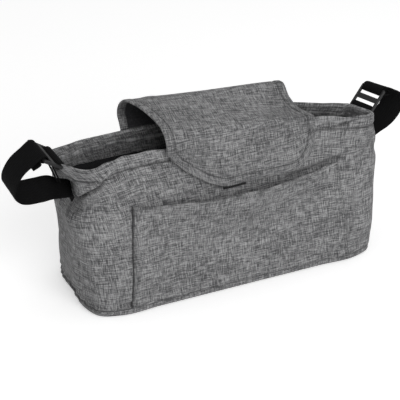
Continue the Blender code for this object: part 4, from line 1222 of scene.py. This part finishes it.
# Each patch: how far below the rim it reaches, its height, how far it lies off the wall, its pile
PATCHES = {"front_loop_patch": (0.0498, 0.032, LIE_CLEARANCE, "loop_tape", 0.0007),
           "flap_hook_patch": (0.0395, 0.022, PATCH_THICKNESS + 2 * LIE_CLEARANCE, "hook_tape", 0.0012)}


def pile_material(name, pile):
    """Black tape with a fine standing pile."""
    made, tree, shader = new_material(name, {"Sheen Weight": TUFT_SHEEN})
    tufts = add_node(tree, "ShaderNodeTexVoronoi", {"Scale": 1.0 / pile})
    place = add_node(tree, "ShaderNodeUVMap", uv_map=CLOTH_MAP)
    feed(tree, place.outputs["UV"], tufts.inputs["Vector"])
    away = tufts.outputs["Distance"]
    read_surface(tree, shader, mixed_colour(tree, away, *TUFT_TONES), mapped(tree, away, *TUFT_ROUGHNESS),
                 away, *TUFT_BUMP)
    return made


for patch_name, (drop, height, away, tape, pile) in PATCHES.items():
    patch_x = np.linspace(-0.5, 0.5, PATCH_COLUMNS) * PATCH_WIDTH + PATCH_CENTRE_X
    patch_z = np.linspace(RIM_HEIGHT - drop, RIM_HEIGHT - drop + height, PATCH_ROWS)
    under = np.array([[(x, front_y(x, z) - away, z) for x in patch_x] for z in patch_z])
    from_edge = np.minimum(PATCH_WIDTH / 2 - np.abs(patch_x - PATCH_CENTRE_X)[None, :],
                           height / 2 - np.abs(patch_z - patch_z.mean())[:, None])
    full = smooth((from_edge - PATCH_EDGE) / (2 * PATCH_EDGE))
    thick = PATCH_THICKNESS * (PATCH_EDGE_SHARE + (1.0 - PATCH_EDGE_SHARE) * full)
    over = under - np.array((0.0, 1.0, 0.0)) * thick[..., None]
    patch_piece = cloth_piece(patch_name, over, under, over[..., 0] + POCKET_MAP_X, over[..., 2])
    dress(patch_piece, pile_material(tape, pile), "closure", patch_name)


# Webbing loops. A black ribbed strap is sewn to each end wall, goes out and round, and passes over
# the top bar of a slider; a short tab sewn higher up holds the slider by its lower bar.
WEBBING_WIDTH = 0.025
WEBBING_THICKNESS = 0.0015
ANCHOR_Y = -0.008
LEFT_ROUTE = ((0.012, 0.0010), (0.026, 0.0012), (0.040, 0.002), (0.0505, 0.0060),
              (0.0575, 0.0130), (0.0590, 0.0225), (0.0570, 0.0320), (0.0525, 0.0405),
              (0.0440, 0.0480))
RIGHT_ROUTE = ((0.012, -0.0040), (0.024, 0.0000), (0.035, 0.0040), (0.0445, 0.0090),
               (0.0508, 0.0152), (0.0528, 0.0218), (0.0510, 0.0278), (0.0462, 0.0332),
               (0.0405, 0.0378), (0.0330, 0.0430))
LEFT_TWIST = (-30.0, -32.0, -26.0, -12.0, -3.0, 0.0, 0.0, 0.0, 0.0)
RIGHT_TWIST = (-8.0, -18.0, -28.0, -34.0, -36.0, -34.0, -28.0, -20.0, -12.0, -5.0)
# Each loop: side, anchor height, yaw, roll and slider lean in degrees, route, twist, how far the
# strap's sewn end is drawn to the front and how long it is, slider centre
LOOPS = {"left": (-1, 0.131, -14.5, 21.0, 37.5, LEFT_ROUTE, LEFT_TWIST, 0.010, 0.011,
                  (0.0235, 0.0440)),
         "right": (1, 0.124, 13.0, 0.0, 47.0, RIGHT_ROUTE, RIGHT_TWIST, 0.0, 0.018, (0.0125, 0.0342))}
STRAP_TAIL = 0.016
WRAP_GAP = 0.0010
WRAP_ROUND = 0.35
WALL_GAP = LIE_CLEARANCE + WEBBING_THICKNESS / 2
TAIL_SHARES = (0.45, 1.0)
STRAP_SEWN_MIDDLE = 0.6
# Where the strap leaves the wall: the place on the wall, then the first place off it
STRAP_LEAVES_WALL = (-0.0045, WALL_GAP + 0.0002)
STRAP_OFF_WALL = (WALL_GAP + 0.0040, -0.0008)
STRAP_TURNS = (0.0, 0.0, 0.0, 0.15, 0.6)
STRAP_FIRST_TWISTS = (0.0, 0.0, 0.3, 0.8)
STRAP_ASIDES = (1.0, 1.0, 1.0, 0.9, 0.5, 0.15)
# The tab: its two ends, how far below the bar it leaves the wall, and its second layer
TAB_ENDS = (0.0055, 0.0065)
TAB_LEAVES = (0.010, 0.011)
TAB_SECOND = WALL_GAP + WEBBING_THICKNESS + LIE_CLEARANCE
TAB_SLACK = 0.0006
WOVEN_EDGE = (0.55, 24)
STRAP_STEPS = 8
TAB_STEPS = 10
TURN_LENGTH = 0.012
SLIDER_BAR = 0.0045
SLIDER_MIDDLE_BAR = 0.0056
SLIDER_SLOT_HEIGHT = 0.0066
SLIDER_HALF_SLOT = WEBBING_WIDTH / 2 + 0.0008
SLIDER_RAIL = 0.0026
SLIDER_THICKNESS = 0.0030
SLIDER_CORNER = 0.0016
SLIDER_EDGE = 0.0006
SLIDER_SHARP_EDGE = math.radians(35.0)
SLIDER_FLAT_EDGE = math.radians(5.0)
SLIDER_HEIGHT = 2 * SLIDER_BAR + SLIDER_MIDDLE_BAR + 2 * SLIDER_SLOT_HEIGHT
WEBBING_RIB = 0.0013


def end_x(side, y, z, rings=wall_row):
    """X of the left (-1) or right (+1) end wall's outer face."""
    ring = rings(z)
    if side < 0:
        stations = ring[:FRONT_LEFT + 1][::-1]
    else:
        stations = ring[FRONT_RIGHT:BACK_RIGHT + 1]
    return float(np.interp(y, stations[:, 1], stations[:, 0]))


class LoopFrame:
    """Places a flat route, given as distance out and height, in the plane that a loop hangs in."""

    def __init__(self, side, anchor_z, yaw, roll, lean):
        self.side = side
        self.yaw = math.radians(yaw)
        self.roll = math.radians(roll)
        self.lean = math.radians(lean)
        half_band = WEBBING_WIDTH / 2
        near, far = (end_x(side, ANCHOR_Y + shift, anchor_z, wall_ring)
                     for shift in (-half_band, half_band))
        self.anchor = np.array((end_x(side, ANCHOR_Y, anchor_z, wall_ring), ANCHOR_Y, anchor_z))
        self.wall_yaw = -math.atan2(far - near, WEBBING_WIDTH)

    def axes(self, turned):
        """Directions out, across (to the front) and up; turned is 0 on the wall, 1 in the loop."""
        yaw = self.wall_yaw + (self.yaw - self.wall_yaw) * turned
        roll = self.roll * turned
        out = np.array((self.side * math.cos(yaw), math.sin(yaw), 0.0))
        level = np.array((self.side * math.sin(yaw), -math.cos(yaw), 0.0))
        upright = np.array((0.0, 0.0, 1.0))
        across = level * math.cos(roll) - upright * math.sin(roll)
        up = level * math.sin(roll) + upright * math.cos(roll)
        return out, across, up

    def place(self, out_distance, height, turned=1.0):
        """The point in space for a point of the flat route."""
        out, _, up = self.axes(turned)
        return self.anchor + out * out_distance + up * height

    def on_wall(self, height, away, aside=0.0):
        """Route values of a point of the band where it lies flat on the end wall."""
        z = self.anchor[2] + height
        out, across, _ = self.axes(0.0)
        reaches = []
        for wide in np.linspace(-0.5, 0.5, 5):
            y = ANCHOR_Y + across[1] * (wide * WEBBING_WIDTH + aside)
            on_face = np.array((end_x(self.side, y, z), y, self.anchor[2]))
            reaches.append(float((on_face - self.anchor) @ out))
        return max(reaches) + away, height


def bar_wrap(lean, centre, towards):
    """Route points round one end bar, from its upper face through the slot to its lower face."""
    along = np.array((math.cos(lean), math.sin(lean)))
    face = np.array((-along[1], along[0]))
    half_bar = SLIDER_BAR / 2
    over = SLIDER_THICKNESS / 2 + WRAP_GAP + WEBBING_THICKNESS / 2
    beside = half_bar + WRAP_GAP + WEBBING_THICKNESS / 2
    inward = -towards * along
    centre = np.array(centre)
    level = SLIDER_THICKNESS * WRAP_ROUND
    return [centre - inward * half_bar + face * over, centre + inward * half_bar * 0.5 + face * over,
            centre + inward * beside + face * level, centre + inward * beside - face * level,
            centre + inward * half_bar * 0.5 - face * over, centre - inward * half_bar - face * over]


def strap_route(loop, route, twist, aside, sewn_length, slider_centre):
    """The strap: sewn to the end wall, out and round, over the top bar and back under itself."""
    along = np.array((math.cos(loop.lean), math.sin(loop.lean)))
    wrap = bar_wrap(loop.lean, np.array(slider_centre) + along * (SLIDER_HEIGHT - SLIDER_BAR) / 2, 1.0)
    tail_step = np.array(route[-1]) - wrap[0]
    tail_step /= np.linalg.norm(tail_step)
    below = np.array((tail_step[1], -tail_step[0])) * (2 * WEBBING_THICKNESS + SLIDER_THICKNESS)
    tail = [wrap[0] + below + tail_step * STRAP_TAIL * share for share in TAIL_SHARES]
    height, away = STRAP_LEAVES_WALL
    keys = [loop.on_wall(-sewn_length, WALL_GAP, aside),
            loop.on_wall(-sewn_length * STRAP_SEWN_MIDDLE, WALL_GAP, aside),
            loop.on_wall(height, away, aside), STRAP_OFF_WALL, *route, *wrap, *tail]
    turns = [*STRAP_TURNS, *[1.0] * (len(keys) - len(STRAP_TURNS))]
    twists = [*[twist[0] * share for share in STRAP_FIRST_TWISTS], *twist]
    twists += [0.0] * (len(keys) - len(twists))
    asides = [aside * share for share in STRAP_ASIDES]
    asides += [0.0] * (len(keys) - len(asides))
    return keys, turns, twists, asides


def tab_route(loop, slider_centre):
    """The short tab: up the end wall, round the slider's lower bar and back down on itself."""
    along = np.array((math.cos(loop.lean), math.sin(loop.lean)))
    low_bar = np.array(slider_centre) - along * (SLIDER_HEIGHT - SLIDER_BAR) / 2
    ups, downs = (low_bar[1] - below for below in TAB_LEAVES)
    keys = [loop.on_wall(TAB_ENDS[0], WALL_GAP), loop.on_wall(ups, WALL_GAP),
            *bar_wrap(loop.lean, low_bar, -1.0),
            loop.on_wall(downs, TAB_SECOND + TAB_SLACK), loop.on_wall(TAB_ENDS[1], TAB_SECOND)]
    flat = [0.0] * len(keys)
    return keys, [0.0, 0.0, *[1.0] * (len(keys) - 4), 0.0, 0.0], flat, flat


WEBBING_TONES = ((0.0015, 0.0015, 0.0016, 1.0), (0.0080, 0.0080, 0.0084, 1.0))
WEBBING_ROUGHNESS = (0.70, 0.88)
WEBBING_BUMP = (0.7, 0.0003)
WEBBING_SPECULAR = 0.10
WARP_SHARE = 0.4
RIB_TONE = 0.22
FUZZ = ((0.0009, 0.0009), 2.0, 5.0)


def webbing_material():
    """Black webbing: cords across the band and finer warp along it, both read from its map."""
    made, tree, shader = new_material("black_webbing", {"Specular IOR Level": WEBBING_SPECULAR})
    place = add_node(tree, "ShaderNodeUVMap", uv_map=CLOTH_MAP).outputs["UV"]
    parts = add_node(tree, "ShaderNodeSeparateXYZ")
    feed(tree, place, parts.inputs["Vector"])

    def waves(way, turn):
        turned = math_node(tree, "MULTIPLY", parts.outputs[way], turn / WEBBING_RIB)
        return math_node(tree, "SINE", turned, 0.0)

    warp = math_node(tree, "MULTIPLY", waves("X", math.pi), WARP_SHARE)
    height = math_node(tree, "ADD", waves("Y", 2.0 * math.pi), warp)
    fuzz = stretched_noise(tree, place, *FUZZ)
    level = math_node(tree, "ADD", math_node(tree, "MULTIPLY", height, RIB_TONE), fuzz)
    read_surface(tree, shader, mixed_colour(tree, level, *WEBBING_TONES),
                 mapped(tree, fuzz, *WEBBING_ROUGHNESS), height, *WEBBING_BUMP)
    return made


black_webbing = webbing_material()
ACROSS_BAND = np.array((-1.0, -0.975, -0.92, -0.8, -0.6, -0.4, -0.2, 0.0, 0.2, 0.4, 0.6, 0.8, 0.92, 0.975,
                        1.0))


def webbing(name, loop, keys, turns, twists, asides, steps):
    """A band of webbing with woven edges along a route, each row turned and twisted with the loop."""
    joined = [(*key, turned * TURN_LENGTH, math.radians(twist) * TURN_LENGTH, aside)
              for key, turned, twist, aside in zip(keys, turns, twists, asides)]
    fine = open_curve(joined, steps)
    turned = np.clip(fine[:, 2] / TURN_LENGTH, 0.0, 1.0)
    along = np.gradient(fine[:, :2], axis=0)
    along /= np.linalg.norm(along, axis=1)[:, None]
    arc = np.concatenate(([0.0], np.cumsum(np.linalg.norm(np.diff(fine[:, :2], axis=0), axis=1))))
    thinning, power = WOVEN_EDGE
    edge = WEBBING_THICKNESS / 2 * (1.0 - thinning * np.abs(ACROSS_BAND) ** power)
    sides = []
    for way in (1.0, -1.0):
        rows = []
        for (out_distance, height, _, twist, aside), turn, step in zip(fine, turned, along):
            out, level, up = loop.axes(turn)
            off = up * step[0] - out * step[1]
            angle = twist / TURN_LENGTH
            across = level * math.cos(angle) + off * math.sin(angle)
            off = off * math.cos(angle) - level * math.sin(angle)
            middle = loop.place(out_distance, height, turn) + level * aside
            rows.append([middle + off * way * thick + across * wide * WEBBING_WIDTH / 2
                         for wide, thick in zip(ACROSS_BAND, edge)])
        sides.append(np.array(rows))
    wide_map = np.repeat((ACROSS_BAND * WEBBING_WIDTH / 2)[None, :], len(fine), axis=0)
    down_map = np.repeat(arc[:, None], len(ACROSS_BAND), axis=1)
    piece = cloth_piece(name, sides[0], sides[1], wide_map, down_map)
    return dress(piece, black_webbing, "black_webbing", name)


SLIDER_FINISH = {"colour": (0.008, 0.008, 0.0085), "roughness": 0.45, "grain": 0.0009, "depth": 0.00006}
slider_plastic = grained_material("slider_plastic", **SLIDER_FINISH)


def slider(name, loop, centre):
    """A moulded plate with three bars and two slots, every edge rounded."""
    half_width = SLIDER_HALF_SLOT + SLIDER_RAIL
    half_height = SLIDER_HEIGHT / 2
    half_middle = SLIDER_MIDDLE_BAR / 2
    across_cuts = (-half_width, -SLIDER_HALF_SLOT, SLIDER_HALF_SLOT, half_width)
    along_cuts = (-half_height, -half_height + SLIDER_BAR, -half_middle,
                  half_middle, half_height - SLIDER_BAR, half_height)
    out, across, up = (Vector(axis) for axis in loop.axes(1.0))
    along = out * math.cos(loop.lean) + up * math.sin(loop.lean)
    face_way = across.cross(along) * -loop.side
    middle = Vector(loop.place(*centre))
    bm = bmesh.new()
    layers = [[[bm.verts.new(middle + across * a + along * b + face_way * thick)
                for a in across_cuts] for b in along_cuts]
              for thick in (-SLIDER_THICKNESS / 2, SLIDER_THICKNESS / 2)]
    cells = [(row, column) for row in range(5) for column in range(3)
             if (row, column) not in {(1, 1), (3, 1)}]
    for row, column in cells:
        for layer in layers:
            bm.faces.new((layer[row][column], layer[row][column + 1],
                          layer[row + 1][column + 1], layer[row + 1][column]))
        for step, corner_a, corner_b in (((-1, 0), (0, 0), (0, 1)), ((1, 0), (1, 0), (1, 1)),
                                         ((0, -1), (0, 0), (1, 0)), ((0, 1), (0, 1), (1, 1))):
            if (row + step[0], column + step[1]) in cells:
                continue
            low, high = layers
            first = (row + corner_a[0], column + corner_a[1])
            second = (row + corner_b[0], column + corner_b[1])
            bm.faces.new((low[first[0]][first[1]], low[second[0]][second[1]],
                          high[second[0]][second[1]], high[first[0]][first[1]]))
    corners = [bm.edges.get((layers[0][row][column], layers[1][row][column]))
               for row in (0, 5) for column in (0, 3)]
    bmesh.ops.recalc_face_normals(bm, faces=bm.faces)
    bmesh.ops.bevel(bm, geom=corners, offset=SLIDER_CORNER, segments=4, profile=0.5, affect="EDGES")
    flat_joins = [edge for edge in bm.edges if edge.calc_face_angle(0.0) < SLIDER_FLAT_EDGE]
    bmesh.ops.dissolve_edges(bm, edges=flat_joins, use_verts=False)
    sharp = [edge for edge in bm.edges if edge.calc_face_angle(0.0) > SHARP_EDGE]
    bmesh.ops.bevel(bm, geom=sharp, offset=SLIDER_EDGE, segments=3, profile=0.5, affect="EDGES",
                    clamp_overlap=True)
    bmesh.ops.triangulate(bm, faces=[face for face in bm.faces if len(face.verts) > 4])
    bmesh.ops.recalc_face_normals(bm, faces=bm.faces)
    mesh = bpy.data.meshes.new(name)
    bm.to_mesh(mesh)
    bm.free()
    return dress(add_piece(name, mesh, SLIDER_SHARP_EDGE), slider_plastic, "slider_plastic", name)


for loop_name, (side, anchor_z, yaw, roll, lean, route, twist, aside, sewn, centre) in LOOPS.items():
    loop = LoopFrame(side, anchor_z, yaw, roll, lean)
    webbing(loop_name + "_strap", loop, *strap_route(loop, route, twist, aside, sewn, centre),
            STRAP_STEPS)
    webbing(loop_name + "_slider_tab", loop, *tab_route(loop, centre), TAB_STEPS)
    slider(loop_name + "_slider", loop, centre)


# Stitches. Lockstitch in grey thread, each stitch a small rounded bead half sunk in its groove:
# round the rim outside and inside, at the pocket's sides and hem, and round the flap's edge.
STITCH_LENGTH = 0.0023
STITCH_PITCH = 0.0031
STITCH_RADIUS = 0.00026
STITCH_SINK = 0.00005
THREAD_DARK = (0.050, 0.050, 0.052)
THREAD_LIGHT = (0.260, 0.260, 0.262)
FACING_STITCH_LIFT = 0.0002
POCKET_SECOND_ROW = 0.0026
LINE_TOLERANCE = 1.02
STITCH_SIDES = 5
# Each ring of a stitch: how far along it, and how wide
STITCH_RINGS = ((0.0, 0.35), (0.18, 1.0), (0.82, 1.0), (1.0, 0.35))
THREAD_FINISH = {"roughness": 0.75, "grain": 0.0003, "depth": 0.00005}
dark_thread = grained_material("thread_dark", THREAD_DARK, **THREAD_FINISH)
light_thread = grained_material("thread_light", THREAD_LIGHT, **THREAD_FINISH)


def stitches(name, paths, material):
    """Beads of thread along paths, each path a row of places and the directions off the cloth."""
    points = []
    faces = []
    for places, normals in paths:
        steps = np.linalg.norm(np.diff(places, axis=0), axis=1)
        arc = np.concatenate(([0.0], np.cumsum(steps)))
        for start in np.arange(STITCH_PITCH / 2, arc[-1] - STITCH_LENGTH, STITCH_PITCH):
            ends = [np.array([np.interp(at, arc, places[:, axis]) for axis in range(3)])
                    for at in (start, start + STITCH_LENGTH)]
            off = np.array([np.interp(start, arc, normals[:, axis]) for axis in range(3)])
            off /= np.linalg.norm(off)
            along = (ends[1] - ends[0]) / np.linalg.norm(ends[1] - ends[0])
            side = np.cross(along, off)
            first = len(points)
            for share, wide in STITCH_RINGS:
                centre = ends[0] + (ends[1] - ends[0]) * share - off * STITCH_SINK
                for turn in np.arange(STITCH_SIDES) * 2.0 * math.pi / STITCH_SIDES:
                    points.append(centre + (off * math.sin(turn) + side * math.cos(turn))
                                  * STITCH_RADIUS * wide)
            for ring in range(len(STITCH_RINGS) - 1):
                start_of_ring = first + ring * STITCH_SIDES
                for turn in range(STITCH_SIDES):
                    here = start_of_ring + turn
                    following = start_of_ring + (turn + 1) % STITCH_SIDES
                    faces.append((here, following, following + STITCH_SIDES, here + STITCH_SIDES))
            last = first + (len(STITCH_RINGS) - 1) * STITCH_SIDES
            faces.append(tuple(first + turn for turn in reversed(range(STITCH_SIDES))))
            faces.append(tuple(last + turn for turn in range(STITCH_SIDES)))
    mesh = bpy.data.meshes.new(name)
    mesh.from_pydata([tuple(point) for point in points], [], faces)
    mesh.shade_smooth()
    piece = add_to_scene(name, mesh)
    piece.data.materials.append(material)
    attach(piece, "root")
    return piece


def row_near(z):
    """Number of the wall row nearest a height."""
    return int(np.abs(WALL_ROWS - z).argmin())


hem_row = row_near(RIM_HEIGHT - HEM_DEPTH)
hem_path = (np.vstack([wall[hem_row], wall[hem_row][:1]]),
            np.vstack([wall_normals[hem_row], wall_normals[hem_row][:1]]))
facing_row = row_near(RIM_HEIGHT - FACING_STITCH_DEPTH)
facing_path = (wall[facing_row] - wall_normals[facing_row] * (INSIDE_INSET - FACING_STITCH_LIFT),
               -wall_normals[facing_row])
stitches("hem_stitches", [hem_path], dark_thread)
stitches("facing_stitches", [facing_path], dark_thread)

pocket_normals = grid_normals(pocket_face, False)
pocket_paths = []
for hem_shift in (0.0, POCKET_SECOND_ROW):
    from_row = np.abs(pocket_heights - (POCKET_HEIGHT - POCKET_HEM - hem_shift))
    pocket_row = int(from_row.argmin())
    pocket_paths.append((pocket_face[pocket_row, 3:-3], pocket_normals[pocket_row, 3:-3]))
side_paths = [(pocket_face[1:, column], pocket_normals[1:, column]) for column in (2, -3)]
stitches("pocket_hem_stitches", pocket_paths, light_thread)
stitches("pocket_side_stitches", side_paths, dark_thread)


def level_line(face, distance, level):
    """Places on the flap where its edge is a given distance away, from one side round to the other."""
    rows, columns = distance.shape
    last_arch = rows - FLAP_DROP_ROWS - 1
    left, right, front = [], [], []
    for row in range(2, last_arch):
        line = distance[row]
        half_way = columns // 2
        if line[half_way] <= level:
            continue
        column = np.interp(level, line[:half_way], np.arange(half_way))
        left.append(face[row, int(round(column))])
        column = np.interp(level, line[:half_way:-1], np.arange(columns - 1, half_way, -1))
        right.append(face[row, int(round(column))])
    for column in range(columns):
        line = distance[last_arch:, column]
        if line[0] <= level * LINE_TOLERANCE:
            continue
        row = np.interp(-level, -line, np.arange(len(line)))
        low = min(int(row), len(line) - 2)
        share = row - low
        front.append(face[last_arch + low, column] * (1.0 - share)
                     + face[last_arch + low + 1, column] * share)
    return np.array(left + front + right[::-1])


flap_top = flap_face[len(flap_face) - len(flap_distance):]
border_line = level_line(flap_top, flap_distance, FLAP_HEM)
flap_middle = flap_top.reshape(-1, 3)
flap_top_normals = -grid_normals(flap_top, False)
nearest = [int(np.linalg.norm(flap_middle - place, axis=1).argmin()) for place in border_line]
stitches("flap_stitches", [(border_line, flap_top_normals.reshape(-1, 3)[nearest])], dark_thread)
